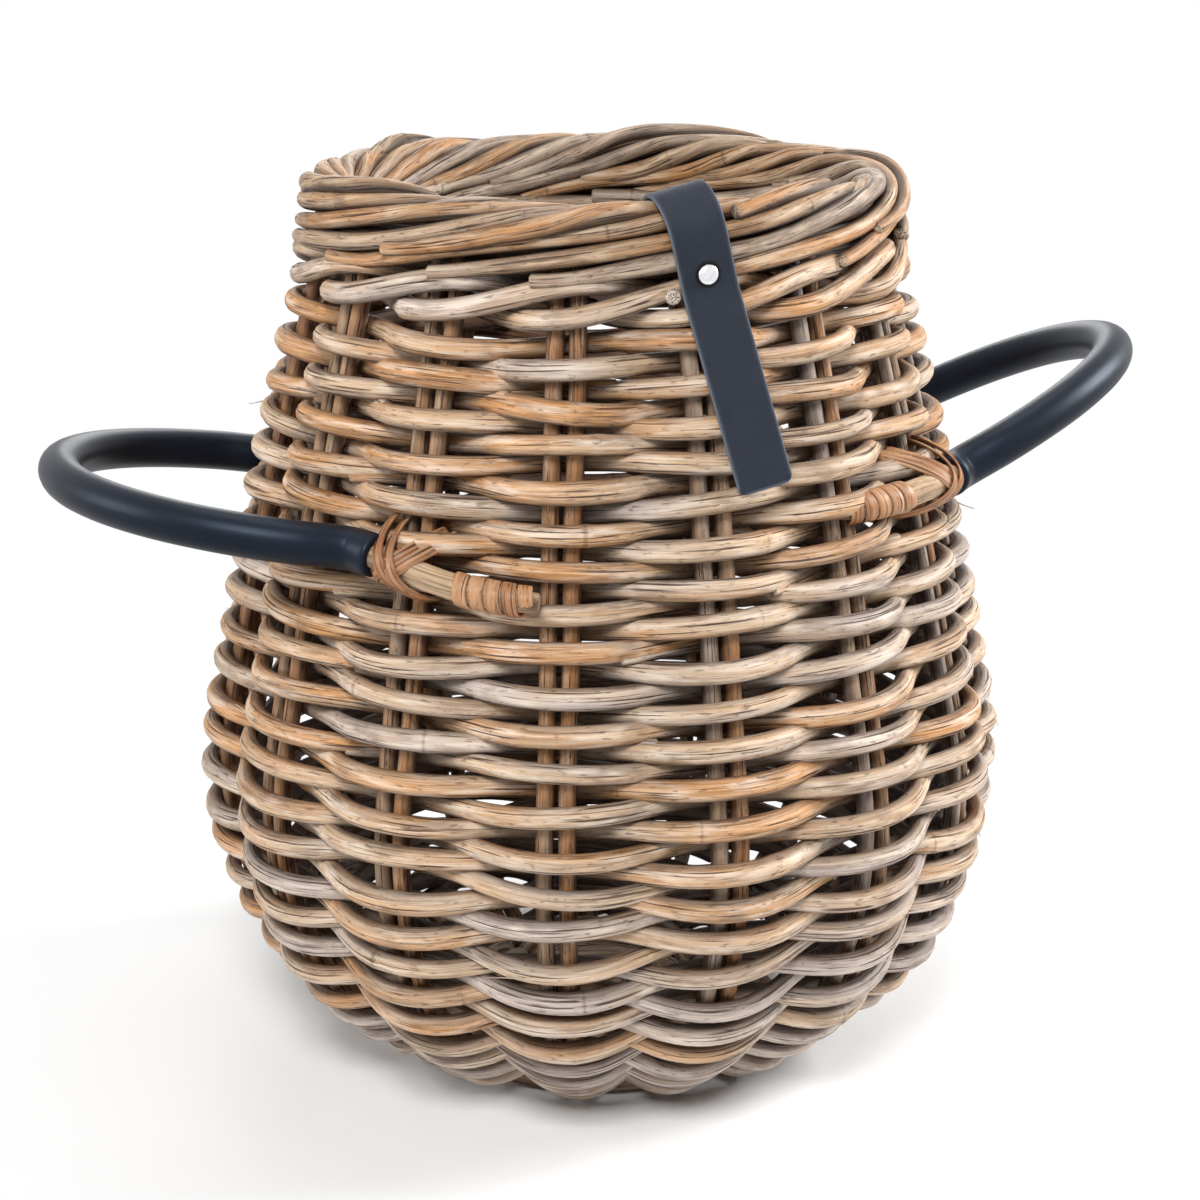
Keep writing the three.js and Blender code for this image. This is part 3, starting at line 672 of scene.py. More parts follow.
def inner_rod(place):
    """A rod laid level against the inside of the roll's foot, under the stubs."""
    draw = np.random.default_rng(620 + place)
    degrees = np.linspace(0, 66 + draw.uniform(0, 6), 52)
    angle = np.radians(60 * place + draw.uniform(0, 9) + degrees)
    far = degrees / 60
    height = border_height - 24.5 + 4.0 * far + wander(far, 630 + place, 0.8, 0.3, 1.2)
    radius = rim_radius - 10.6 - 1.5 * far + wander(far, 640 + place, 0.5, 0.3, 1)
    outward = -around(angle, 1.0, 0.0)
    # The seam darkens the rod's flanks: painted shade, with some grime.
    return cane(around(angle, radius, height), outward, 4.4 * draw.uniform(0.92, 1.05),
                tone=draw.beta(1.3, 1.3), nook=0.1, seam=0.9, knots=[55, 130],
                start=any_start(draw))


def level_ring(radius, height, thick, tone, nook):
    """A cane that goes once round the basket and closes."""
    turn = np.linspace(0, 2 * np.pi, 181)
    return cane(around(turn, radius, height), UP, thick, sides=8, tone=tone, nook=nook)


# %% Roll the border
border_pieces, border_rod_radius = 4, 4.35
draw = np.random.default_rng(77)
roll = [border_rod(i, draw.uniform(-12, 4), whole_turn - draw.uniform(2, 14),
                   draw.uniform(-0.6, 0.6), border_rod_radius, 2.6) for i in range(stake_count)]
added = {1.5: 34, 4.5: 58, 7.5: 20, 8.5: 62, 11.5: 26, 13.5: 50}
roll += [border_rod(i, begin, begin + 58, 4.6, 4.3, -1.5) for i, begin in added.items()]
roll += [inner_rod(i) for i in range(6)]
# The three rings get a nook of 0.9: painted shade, which makes them nearly the deep tone.
roll += [level_ring(rim_radius + 0.6, border_height - drop, 4.4, 0.5, 0.9)
         for drop in (1.0, 9.0, 17.0)]
roll += [border_rod(i + 0.5, draw.uniform(66, 74), draw.uniform(116, 128), 0.3, 4.5, -4.0)
         for i in range(stake_count)]
borders = []
for k in range(border_pieces):
    piece = cane_piece(f"rolled_border_{k + 1}", roll[k::border_pieces])
    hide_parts(f"border_rod_{k + 1}")
    borders.append(piece)
print("border rods:", len(roll), "in", border_pieces, "pieces")

# %% [markdown]
# ## The base
# The underside doesn't show in the photograph. Baskets of this kind have a woven base: thin
# canes wind from the middle outwards, first as a tight coil and then over and under the stakes.
# The stakes lie flat between the upper and the lower passes.

# %% Woven base
base_cane = 2.85


def coil(height, seed, grow=5.9, first=3.5, last=47.0):
    """A flat spiral: the radius grows by one cane's thickness for each turn."""
    turns = (last - first) / grow
    angle = np.linspace(0, 2 * np.pi * turns, int(turns * 44))
    radius = first + grow * angle / (2 * np.pi)
    path = around(angle, radius, height + wander(angle, seed, 0.12, 0.05, 0.3))
    return cane(path, UP, base_cane, sides=8, tone=0.45, nook=0.2, start=100.0 * seed)


def base_spiral():
    """Over one pair, under the next, while the radius grows by one cane's thickness per turn."""
    u = np.arange(0, 96, 1 / 10)
    radius = 51.5 + 5.95 * u / stake_count
    wave = flat_wave(u / 2, 1.6)
    angle = stake_angle(u)
    path = around(angle, radius, stake_foot + 6.6 * wave)
    tone = 0.5 + wander(u, 61, 0.3, 0.02, 0.1)
    return cane(path, UP, base_cane, sides=8, tone=tone, nook=0.3, start=50.0)


base = cane_piece("woven_base", [coil(2.95, 3), coil(16.6, 4), base_spiral(),
                                 level_ring(94.2, 3.0, 2.9, 0.4, 0.2)])
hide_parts("base_weave")
weavers.append(base)
print("base:", len(base.data.polygons), "faces")

# %% [markdown]
# ## Handles
# Each handle is a thick cane bent to a hoop, with a smooth black sleeve over the part that the
# hand holds. Its bare ends lie against the wall. The hoop is a slightly squared circle, tilted
# up, and no two are bent alike: the right one stands higher at the front than at the back, and
# its front end goes into the weave. One spline runs through the hoop and both lying ends.

# %% Route of a handle
hoop_exponent = 2.1
lying_turns = np.radians(np.linspace(65.5, 41, 7))
lying_drop = np.array([14.5, 13.8, 12.4, 10.2, 7.4, 4.3, 1.6])


def handle_route(hand, reach, tilt, front, back, sag, sink):
    """Lying end, hoop, lying end. front and back each give the lying end's radius at its cut end
    and the foot of the hoop. On the hoop, the place between the two feet is sin^(2/p) and the
    way out is reach cos^(2/p), a superellipse, tilted up. hand is 1 for +X and -1 for -X. Sag
    scales the lying ends' drop; sink is how deep the front one's cut end goes into the weave."""
    ends = {}
    for side, (radius, foot) in ((-1, front), (1, back)):
        inwards = np.linspace(0, 1.77, 7)
        if side < 0:
            inwards += sink * np.linspace(1, 0, 7) ** 1.2
        ends[side] = around(side * lying_turns, radius - inwards, foot[2] - sag * lying_drop)
    turn = np.linspace(-np.pi / 2, np.pi / 2, 18)
    out = reach * np.abs(np.cos(turn)) ** (2 / hoop_exponent)
    share = np.sign(turn) * np.abs(np.sin(turn)) ** (2 / hoop_exponent)
    first, last = np.array(front[1]), np.array(back[1])
    hoop = first + (last - first) * (1 + share[:, None]) / 2
    hoop = hoop + out[:, None] * np.array([math.cos(tilt), 0, math.sin(tilt)])
    knots = np.vstack([ends[-1], hoop, ends[1][::-1]])
    return through_knots(knots, 8 * (len(knots) - 1) + 1) * np.array([hand, 1, 1])


routes = {"right": handle_route(1, 128, math.radians(25.5), (182.19, (146.87, -106.71, 308.5)),
                                (190.82, (153.97, 111.87, 269.5)), 0.3, 18.0),
          "left": handle_route(-1, 115.5, math.radians(9.5), (184.47, (148.72, -108.05, 292.0)),
                               (187.36, (151.06, 109.75, 286.0)), 1.0, 0.0)}
print("lengths:", {name: round(float(travelled(path)[-1])) for name, path in routes.items()})

# %% Handle cores and sleeves
core_radius, sleeve_radius, bore_radius = 6.0, 10.0, 6.5
sleeve_lip = ((7.2, 0.0), (9.1, -0.1), (9.75, 0.5))
bare_end = 48


def upright(path):
    """Up, less its part along the path: the direction that a handle's section is built on."""
    along = unit(np.gradient(path, axis=0))
    return unit(UP - along * along[:, 2:])


def sleeve_surface(name, path):
    """A tube with a wall: rings of the outer radius out, rings of the bore back, joined at both
    ends over a rounded lip. Each ring is a point of the path, a radius and a shift along it."""
    sides, last = 28, len(path) - 1
    rings = [(0, radius, shift) for radius, shift in sleeve_lip]
    rings += [(i, sleeve_radius, 0.0) for i in range(1, last)]
    rings += [(last, radius, -shift) for radius, shift in reversed(sleeve_lip)]
    rings += [(i, bore_radius, 0.0) for i in (last, *range(last - 1, 0, -4), 0)]
    order, radius, shift = [np.array(column) for column in zip(*rings)]
    along, up, across = directions(path, upright(path))
    spot = path[order] + along[order] * shift[:, None]
    skin = carried(spot, up[order], across[order], radius, circle(sides))
    straight = straightened(travelled(path)[order], radius, circle(sides))
    return mesh_piece(name, skin, skin_faces(len(order), sides, closed=True),
                      {"straight": straight * MM})


cores, sleeves = [], []
for name, path in routes.items():
    steps = np.arange(len(path))
    end = np.minimum(steps, steps[::-1])
    thick = core_radius * (0.72 + 0.28 * taper(end, 9))
    # The core is darkened towards its ends, under the bindings, and on its flanks by the seam:
    # painted shade, with some grime.
    shade_and_grime = 0.6 * (1 - taper(end, 8))
    core = cane_piece(f"handle_cane_{name}", [cane(path, upright(path), thick, sides=14,
                                                   nook=shade_and_grime, seam=0.5, start=3000.0)])
    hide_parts(f"handle_core_{name}")
    cores.append(core)
    sleeve = sleeve_surface(f"black_sleeve_{name}", path[bare_end:-bare_end])
    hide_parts(f"handle_sleeve_{name}")
    sleeves.append(sleeve)
print("handles:", list(routes))

# %% [markdown]
# ## Lashings
# The lying ends are bound to the wall with the glossy orange peel of a cane. Next to the sleeve
# two pairs of bands cross over the handle in an X and run into the weave. Farther on, nearly
# five loops lie side by side. A band is a flat section, slightly domed, carried along its path.

# %% A band of peel
def band(path, outward, width, thick, tone):
    """A flat strip: an ellipse squared off, width across and thick outwards, carried along the
    path as a cane's circle is."""
    sides = 12
    c, s = np.cos(circle(sides)), np.sin(circle(sides))
    flat = np.stack([np.sign(c) * np.abs(c) ** 0.8 * thick / 2,
                     np.sign(s) * np.abs(s) ** 0.45 * width / 2], -1)
    strip = cane(path, outward, 1.0, sides=sides, tone=tone, nook=0.1)
    rows = [0, *range(len(path)), len(path) - 1]
    out, across = [d[rows][:, None] for d in directions(np.asarray(path, float), outward)[1:]]
    middle = strip["points"][:-2].reshape(-1, sides, 3).mean(axis=1)
    scale = np.ones(len(rows))
    scale[[0, -1]] = 0.8
    depth, breadth = [(column * scale[:, None])[..., None] for column in flat.T]
    skin = middle[:, None] + out * depth + across * breadth
    strip["points"][:-2] = skin.reshape(-1, 3)
    strip["straight"][:-2, :2] = np.tile(flat, (len(rows), 1))
    strip["girth"] = 2 * (width + thick)
    return strip


short_band = band([[0, 0, 0], [9, 0, 0], [18, 0, 0]], UP, 6.7, 1.4, 0.5)
print("a short band has", len(short_band["points"]), "points")

# %% Bindings and crossings
loops, first_loop, loop_pitch = 4.6, 3.9, 7.4
crossing_place, reach_up, depth_in = 68.0, 20, 22


def binding(path, seed):
    """Nearly five loops: a helix about the lying end, close to the cane."""
    turns = np.linspace(0, loops, 5 * 36 + 1)
    place = first_loop + loop_pitch * turns
    centre = on_line(place, travelled(path), path)
    along = unit(np.gradient(centre, axis=0))
    across = unit(np.cross(UP, along))
    up = np.cross(along, across)
    swing = 2 * np.pi * turns[:, None]
    out = across * np.cos(swing) + up * np.sin(swing)
    close = core_radius * (0.8 + 0.2 * taper(place, 10)) + 0.8 + wander(turns, seed, 0.15, 0.3, 1.2)
    tone = 0.5 + wander(turns, seed + 5, 0.3, 0.1, 0.5)
    return band(centre + out * close[:, None], out, 6.7, 1.4, tone)


def crossing_bands(path):
    """Two pairs of arcs over the handle beside the sleeve. An arc runs as cos t in a slanted
    direction on the wall and rises outwards as sin^1.4 t, so its feet lie deep in the weave."""
    centre, ahead = [on_line(crossing_place + x, travelled(path), path) for x in (0, 4)]
    along = unit(ahead - centre)
    outward = unit(centre * np.array([1, 1, 0.0]))
    upwards = unit(np.cross(outward, along) * np.sign(np.cross(outward, along)[2]))
    turn = np.linspace(0, np.pi, 31)[:, None]
    arch = np.clip(np.sin(turn), 0, 1) ** 1.4
    bands = []
    for k, lean in enumerate((-1, 1, -1, 1)):
        slant = unit(upwards + lean * along * 0.85)
        high = 29.0 + 1.25 * (k % 2)
        shift = along * (3.4 if k > 1 else -2.6) - upwards * 0.8
        arc = centre + shift + slant * reach_up * np.cos(turn) + outward * (high * arch - depth_in)
        facing = outward * np.sin(turn) + slant * np.cos(turn)
        bands.append(band(arc, facing, 5.8, 1.2, 0.4 + 0.15 * k))
    return bands


lashings = []
for name, path in routes.items():
    for place, line in (("front", path), ("back", path[::-1])):
        strips = [binding(line, 20 + len(lashings))] + crossing_bands(line)
        piece = cane_piece(f"peel_lashing_{name}_{place}", strips)
        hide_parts(f"lashing_{name}_{place}")
        lashings.append(piece)
print("lashings:", len(lashings))

# %% [markdown]
# ## The strap
# One strip of thick leather lies over the border. Its short end hangs inside, its long end
# outside, and one rivet goes through both. The strip is a flat section with rounded edges,
# carried along a line that is seen edge-on: up, over in a half circle, and down. Below the
# rivet it bends where it lifts.

# %% Line of the strap
strap_width, strap_thick = 26.0, 2.4
leaf_inner = 17.49
leaf_mid, leaf_outer = leaf_inner + strap_thick / 2, leaf_inner + strap_thick
loop_centre, rivet_height = 17.0, 415.0
inner_drop, hinge_drop, tail_length = 7.0, 7.3, 90.0
tail_tilt = math.radians(13.143)
strap_angle, strap_slant = math.radians(272), math.radians(13)


def strap_place(points):
    """From the rivet's own frame (x out of the wall, y along it, z up) to the basket's: slanted
    about x, turned to the strap's place, then moved out to the rim."""
    points = np.asarray(points, float)
    c, s = math.cos(strap_slant), math.sin(strap_slant)
    slanted = points @ np.array([[1, 0, 0], [0, c, -s], [0, s, c]]).T
    c, s = math.cos(strap_angle), math.sin(strap_angle)
    facing = slanted @ np.array([[c, -s, 0], [s, c, 0], [0, 0, 1]]).T
    return facing + np.array([rim_radius * c, rim_radius * s, rivet_height])


def strap_line():
    """Edge-on, in x and z: the inner leaf, the half circle, the outer leaf and the tail."""
    arc = np.linspace(np.pi, 0, 64)
    loop = np.stack([leaf_mid * np.cos(arc), loop_centre + leaf_mid * np.sin(arc)], -1)
    inner = np.stack([np.full(20, -leaf_mid), np.linspace(-inner_drop, loop_centre - 1, 20)], -1)
    outer = np.stack([np.full(20, leaf_mid), np.linspace(loop_centre - 1, -hinge_drop + 1, 20)], -1)
    c, s = math.cos(tail_tilt), math.sin(tail_tilt)
    start = np.array([leaf_outer, -hinge_drop]) - strap_thick / 2 * np.array([c, s])
    tail = start + np.array([s, -c]) * np.linspace(1.5, tail_length, 76)[:, None]
    return soften(np.vstack([inner, loop, outer, tail]), 4)


print("strip of leather:", round(float(travelled(strap_line())[-1])), "mm long")

# %% Strap
corner_radius, bare_edge = 4.0, 1.1
press_radius, press_depth, far_away = 5.2, 0.55, 60.0


def strap_surface(name):
    """Each row of the grid is one section of the strip: across its outer face, round one edge,
    back across its inner face and round the other edge. The tail's corners are round. Around
    the rivet the face that shows is pressed in by a bell curve, exp(-(distance / radius)^4)."""
    line = strap_line()
    line = np.vstack([line[:1] + [[0, -0.25]], line, line[-1:] + (line[-1:] - line[-2:-1]) * 0.2])
    run = unit(np.gradient(line, axis=0))
    normal = np.stack([-run[:, 1], run[:, 0]], -1)
    half, half_width = strap_thick / 2, strap_width / 2
    face, edge = np.linspace(-1, 1, 23), np.linspace(0, np.pi, 7)[1:-1]
    flat, bulge = half_width - half * 0.75, half * 0.75 * np.sin(edge)
    y = np.r_[face * flat, flat + bulge, face[::-1] * flat, -flat - bulge]
    x = np.r_[np.full(23, half), half * np.cos(edge), np.full(23, -half), -half * np.cos(edge)]
    left = travelled(line)
    left = left[-1] - left
    inside = np.clip(corner_radius ** 2 - (corner_radius - left) ** 2, 0, None)
    narrow = np.where(left < corner_radius, corner_radius - np.sqrt(inside), 0)
    wide = (half_width - narrow) / half_width
    pinch = np.ones(len(line))
    pinch[[0, -1]] = 0.55
    spots = np.zeros((len(line), len(y), 3))
    for axis, k in ((0, 0), (2, 1)):
        spots[..., axis] = line[:, None, k] - normal[:, None, k] * x * pinch[:, None]
    spots[..., 1] = y[None] * wide[:, None]
    from_rivet = np.hypot(spots[..., 1], spots[..., 2])
    on_leaf = np.abs(np.abs(spots[..., 0]) - leaf_mid) < 3
    press = press_depth * np.exp(-(from_rivet / press_radius) ** 4) * on_leaf * (x < 0)
    spots[..., 0] -= np.sign(spots[..., 0]) * press
    away = np.where(on_leaf, from_rivet, far_away)
    bare = np.clip(1 - (half_width - np.abs(spots[..., 1])) / bare_edge, 0, 1)
    bare = np.maximum(bare, np.clip(1 - left, 0, 1)[:, None])
    rows, count = spots.shape[:2]
    ends = np.array([[line[k, 0], 0, line[k, 1]] for k in (0, -1)])
    length = np.repeat(left[:, None], count, 1)
    straight = np.stack([np.broadcast_to(x, (rows, count)), spots[..., 1], length], -1)
    straight = np.vstack([straight.reshape(-1, 3), [[0, 0, left[0]], [0, 0, 0]]])
    values = {"straight": straight * MM, "bare": np.r_[bare.reshape(-1), 1, 1],
              "away": np.r_[away.reshape(-1), far_away, far_away]}
    points = strap_place(np.vstack([spots.reshape(-1, 3), ends]))
    return mesh_piece(name, points, skin_faces(rows, count), values, end_faces(rows, count))


strap = strap_surface("leather_strap")
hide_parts("strap_loop", "strap_tail")
print("strap points:", len(strap.data.vertices))

# %% [markdown]
# ## The rivet
# A domed steel rivet with a washer on the inside. Both are turned shapes: a profile of distance
# from the rim's middle and radius, carried round the rivet's own axis.

# %% Rivet
def turned(name, profile, sides=40):
    """Point j of ring i lies at the profile's distance x, and at its radius in y and z. Rings of
    no radius close to one point."""
    reach, radius = np.asarray(profile, float).T
    skin = straightened(reach, radius, circle(sides))[:, [2, 0, 1]]
    thing = mesh_piece(name, strap_place(skin), skin_faces(len(profile), sides), {})
    shape = bmesh.new()
    shape.from_mesh(thing.data)
    bmesh.ops.remove_doubles(shape, verts=shape.verts, dist=1e-6)
    bmesh.ops.recalc_face_normals(shape, faces=shape.faces)
    shape.to_mesh(thing.data)
    shape.free()
    return thing


outer, inner = leaf_outer, -leaf_outer
dome = np.linspace(0, np.pi / 2, 12)
head = [[outer + 0.25 + 2.1 * math.sin(t), 4.75 * math.cos(t) ** 0.9] for t in dome[1:-1]]
rivet = turned("steel_rivet", [[inner - 2.2, 0.0], [inner - 2.2, 0.9], [inner - 1.9, 1.3],
                               [outer - 0.4, 1.3], [outer - 0.35, 4.4], [outer - 0.1, 4.75],
                               [outer + 0.25, 4.75], *head, [outer + 2.35, 0.0]])
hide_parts("rivet")
washer = turned("rivet_ring", [[inner - 0.3, 1.6], [inner - 0.3, 3.9], [inner - 0.45, 4.0],
                               [inner - 1.1, 3.8], [inner - 1.3, 3.2], [inner - 1.3, 1.6],
                               [inner - 0.3, 1.6]])
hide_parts("rivet_washer")
print("rivet at", [round(float(x), 1) for x in strap_place([[leaf_outer, 0, 0]])[0]])

# %% [markdown]
# ## Materials: the tools
# Colours are written as they look on a screen, from 0 to 255, and turned to linear light here.
# The other helpers keep the node trees readable: they add a node and link it in one line.

# %% Node helpers
def colour(r, g, b):
    """Screen colour to linear light: ((c + 0.055) / 1.055) to the power 2.4, for all but the
    darkest."""
    c = np.array([r, g, b]) / 255
    linear = np.where(c <= 0.04045, c / 12.92, ((c + 0.055) / 1.055) ** 2.4)
    return (*linear.tolist(), 1.0)


def fill(tree, node, **inputs):
    """Sets a node's inputs. Those named i0, i1 go by number, others by name; a socket is linked."""
    for key, value in inputs.items():
        by_number = key[0] == "i" and key[1:].isdigit()
        socket = node.inputs[int(key[1:]) if by_number else key.replace("_", " ")]
        if isinstance(value, bpy.types.NodeSocket):
            tree.links.new(value, socket)
        else:
            socket.default_value = value
    return node


def add(tree, kind, settings=None, **inputs):
    """One more shader node, with its settings and inputs."""
    node = tree.nodes.new("ShaderNode" + kind)
    for key, value in (settings or {}).items():
        setattr(node, key, value)
    return fill(tree, node, **inputs)


def mix(tree, share, a, b, way="MIX"):
    """Colour a, and b laid over it by the share."""
    node = add(tree, "Mix", {"data_type": "RGBA", "blend_type": way}, i0=share, i6=a, i7=b)
    return node.outputs[2]


def maths(tree, operation, a, b):
    """One sum with two numbers."""
    return add(tree, "Math", {"operation": operation}, i0=a, i1=b).outputs[0]


def plus(tree, a, b, times=1.0):
    """a + b times a number."""
    return maths(tree, "ADD", a, maths(tree, "MULTIPLY", b, times))


def ramp(tree, value, low, high):
    """0 below low, 1 above high, straight between."""
    return add(tree, "MapRange", None, Value=value, From_Min=low, From_Max=high).outputs["Result"]


def laid_over(tree, under, shade, value, low, high, strength, way="MIX"):
    """The shade laid over a colour where the value climbs from low to high, at this strength."""
    share = maths(tree, "MULTIPLY", ramp(tree, value, low, high), strength)
    return mix(tree, share, under, shade, way)


def value_of(tree, label, field="Fac"):
    """A point attribute, as a number or a vector."""
    return add(tree, "Attribute", {"attribute_name": label}).outputs[field]


print("screen grey 128 is", round(colour(128, 128, 128)[0], 3), "in linear light")

# %% Patterns and bumps
def noise(tree, vector, detail, scale=1.0):
    """Smooth random patches. Detail is how many finer layers lie on top."""
    node = add(tree, "TexNoise", None, Vector=vector, Scale=scale, Detail=detail)
    return node.outputs["Fac"]


def drawn_out(tree, straight, around_it, along_it, detail):
    """Noise on the straightened cane, scaled differently round the cane and along it."""
    spot = add(tree, "VectorMath", {"operation": "MULTIPLY"}, i0=straight,
               i1=(around_it, around_it, along_it)).outputs[0]
    return noise(tree, spot, detail)


def bump(tree, height, strength, distance):
    """Tilts the light by the slopes of a height."""
    node = add(tree, "Bump", None, Height=height, Strength=strength, Distance=distance)
    return node.outputs["Normal"]


def new_material(name):
    """A material, its node tree and its shader."""
    material = bpy.data.materials.new(name)
    material.use_nodes = True
    return material, material.node_tree, material.node_tree.nodes["Principled BSDF"]


# %% [markdown]
# ## Cane grain
# Weathered rattan isn't one colour. Canes differ from grey to honey, each is patchy along its
# length, fine fibres run along it, and dark cracks follow them. Growth rings are ridges with a
# dark line. Cut ends show pale pith. All canes share this as one group; each material gives it
# its own colours. The pattern uses the straightened cane, so it bends with the weave.

# %% Group: cane grain
cane_group = t = bpy.data.node_groups.new("cane grain", "ShaderNodeTree")
for way, kind, labels in (("INPUT", "Vector", ["Straight"]),
                          ("INPUT", "Float", ["Tone", "Nook", "Knot", "Cut", "Cracks", "Shine"]),
                          ("INPUT", "Color", ["Grey", "Middle", "Warm", "Deep", "Pith"]),
                          ("OUTPUT", "Color", ["Color"]),
                          ("OUTPUT", "Float", ["Roughness", "Height"])):
    for label in labels:
        t.interface.new_socket(label, in_out=way, socket_type="NodeSocket" + kind)
given, gives = t.nodes.new("NodeGroupInput").outputs, t.nodes.new("NodeGroupOutput")
deep, pith = given["Deep"], given["Pith"]
patches, fibres, fine, splits, blotch, scuff, dirt = [
    drawn_out(t, given["Straight"], *scales)  # round the cane, along it, detail
    for scales in ((60, 9, 3.0), (620, 14, 4.0), (1900, 60, 2.0), (900, 22, 2.0), (130, 45, 4.0),
                   (260, 34, 4.0), (700, 170, 3.0))]
tone = plus(t, given["Tone"], maths(t, "SUBTRACT", patches, 0.5), 1.9)
skin = mix(t, ramp(t, tone, 0.12, 0.5), given["Grey"], given["Middle"])
skin = mix(t, ramp(t, tone, 0.52, 0.95), skin, given["Warm"])
skin = laid_over(t, skin, deep, fibres, 0.40, 0.68, 0.5)
skin = laid_over(t, skin, pith, scuff, 0.50, 0.66, 0.45)
skin = laid_over(t, skin, pith, fine, 0.45, 0.72, 0.35)
crack = maths(t, "MULTIPLY", ramp(t, splits, 0.59, 0.67), given["Cracks"])
skin = mix(t, maths(t, "MULTIPLY", crack, 0.9), skin, deep, "MULTIPLY")
skin = laid_over(t, skin, deep, blotch, 0.56, 0.70, 0.45)
skin = laid_over(t, skin, deep, dirt, 0.60, 0.70, 0.55, "MULTIPLY")
ridge = plus(t, given["Knot"], maths(t, "SUBTRACT", fibres, 0.5), 0.6)
ringed = ramp(t, ridge, 0.72, 0.95)
skin = mix(t, maths(t, "MULTIPLY", ringed, 0.5), skin, deep)
face = mix(t, ramp(t, fine, 0.40, 0.62), pith, deep)
skin = mix(t, given["Cut"], skin, face)
# The nook darkens the skin towards the deep tone: painted shade, with some grime.
skin = mix(t, maths(t, "MULTIPLY", given["Nook"], 0.92), skin, deep, "MULTIPLY")
rough = plus(t, plus(t, given["Shine"], fibres, 0.25), crack, 0.15)
high = plus(t, maths(t, "MULTIPLY", fibres, 0.8), fine, 0.3)
high = plus(t, high, crack, -0.7)
high = plus(t, high, ramp(t, dirt, 0.60, 0.70), -0.3)
fill(t, gives, Color=skin, Roughness=rough, Height=plus(t, high, ringed, 0.4))
print("cane grain:", len(t.nodes), "nodes")

# %% [markdown]
# ## Five kinds of cane
# The weavers are the palest. The stakes between them are a little darker, the border's rods are
# browner. The handles' bare ends are peeled and cream, and the lashings are glossy orange peel.
# Each kind has a grey, a middle and a warm tone, one for cracks, dirt and painted shade, and one
# for pith.

# %% Cane materials
def cane_material(name, grey, middle, warm, deep, pith, cracks=1.0, shine=0.5, coat=0.0):
    """A material that gives the cane grain its colours and sends its height to a bump."""
    material, tree, shader = new_material(name)
    numbers = {label: value_of(tree, label.lower()) for label in ("Tone", "Nook", "Knot", "Cut")}
    grain = add(tree, "Group", {"node_tree": cane_group}, **numbers,
                Straight=value_of(tree, "straight", "Vector"), Cracks=cracks, Shine=shine,
                Grey=colour(*grey), Middle=colour(*middle), Warm=colour(*warm),
                Deep=colour(*deep), Pith=colour(*pith)).outputs
    fill(tree, shader, Base_Color=grain["Color"], Roughness=grain["Roughness"],
         Normal=bump(tree, grain["Height"], 0.9, 0.00045), Specular_IOR_Level=0.4,
         Coat_Weight=coat, Coat_Roughness=0.25)
    return material


weaver_cane = cane_material("weathered weaver cane", (180, 165, 156), (192, 163, 132),
                            (190, 136, 80), (82, 56, 38), (238, 225, 210))
stake_cane = cane_material("stake cane", (170, 155, 146), (176, 145, 115), (180, 122, 68),
                           (82, 56, 38), (218, 198, 172))
border_cane = cane_material("border cane", (154, 134, 118), (168, 134, 100), (170, 117, 64),
                            (62, 40, 26), (222, 202, 176), shine=0.45)
core_cane = cane_material("peeled handle cane", (190, 166, 138), (196, 166, 130), (184, 144, 100),
                          (110, 80, 54), (226, 208, 180), cracks=0.6)
orange_peel = cane_material("orange cane peel", (186, 140, 102), (174, 121, 79), (158, 99, 56),
                            (78, 44, 24), (212, 172, 130), cracks=0.9, shine=0.36, coat=0.1)


def dress(things, material, body="basket"):
    """Gives each piece its material and the body that it moves with."""
    for thing in things:
        thing.data.materials.append(material)
        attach(thing, body)


dress(weavers, weaver_cane)
dress(stakes, stake_cane)
dress(borders, border_cane)
dress(cores, core_cane)
dress(lashings, orange_peel)
print("materials so far:", len(bpy.data.materials))

# %% [markdown]
# ## Sleeve, leather and steel
# The sleeve is a smooth satin tube with faint marks of handling. The leather is blue-black and
# fine-grained, with paler cut edges, and is pressed in round the rivet; a near-black ring of
# painted shadow lies round it. The rivet is polished, with hair-fine scratches.

# %% Sleeve material
sleeve_black, t, shader = new_material("satin black sleeve")
spot = value_of(t, "straight", "Vector")
haze, drawn = drawn_out(t, spot, 90, 18, 4.0), drawn_out(t, spot, 1500, 12, 2.0)
fill(t, shader, Base_Color=mix(t, ramp(t, haze, 0.35, 0.7), colour(9, 12, 20), colour(17, 21, 31)),
     Roughness=plus(t, 0.33, haze, 0.18), Normal=bump(t, plus(t, drawn, haze), 0.25, 0.0002),
     Specular_IOR_Level=0.24, Specular_Tint=(0.62, 0.78, 1.0, 1.0))
dress(sleeves, sleeve_black)

# %% Leather material
leather, t, shader = new_material("blue-black leather")
spot = value_of(t, "straight", "Vector")
pores = add(t, "TexVoronoi", {"feature": "DISTANCE_TO_EDGE"}, Vector=spot, Scale=1500.0)
cloud, grit = noise(t, spot, 4.0, 70.0), noise(t, spot, 2.0, 2600.0)
skin = mix(t, ramp(t, cloud, 0.3, 0.7), colour(24, 29, 40), colour(31, 37, 49))
skin = laid_over(t, skin, colour(58, 66, 80), grit, 0.5, 0.7, 0.22)
# A near-black ring round the rivet, 5.6 to 6.3 mm from its middle: painted shadow.
skin = mix(t, ramp(t, value_of(t, "away"), 6.3, 5.6), skin, colour(3, 3, 4))
skin = mix(t, maths(t, "MULTIPLY", value_of(t, "bare"), 0.55), skin, colour(126, 134, 146))
high = plus(t, ramp(t, pores.outputs["Distance"], 0.0, 0.12), cloud, 0.8)
fill(t, shader, Base_Color=skin, Roughness=plus(t, 0.52, cloud, 0.2),
     Normal=bump(t, high, 0.5, 0.00015), Specular_IOR_Level=0.2)
strap.data.materials.append(leather)
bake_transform(strap)

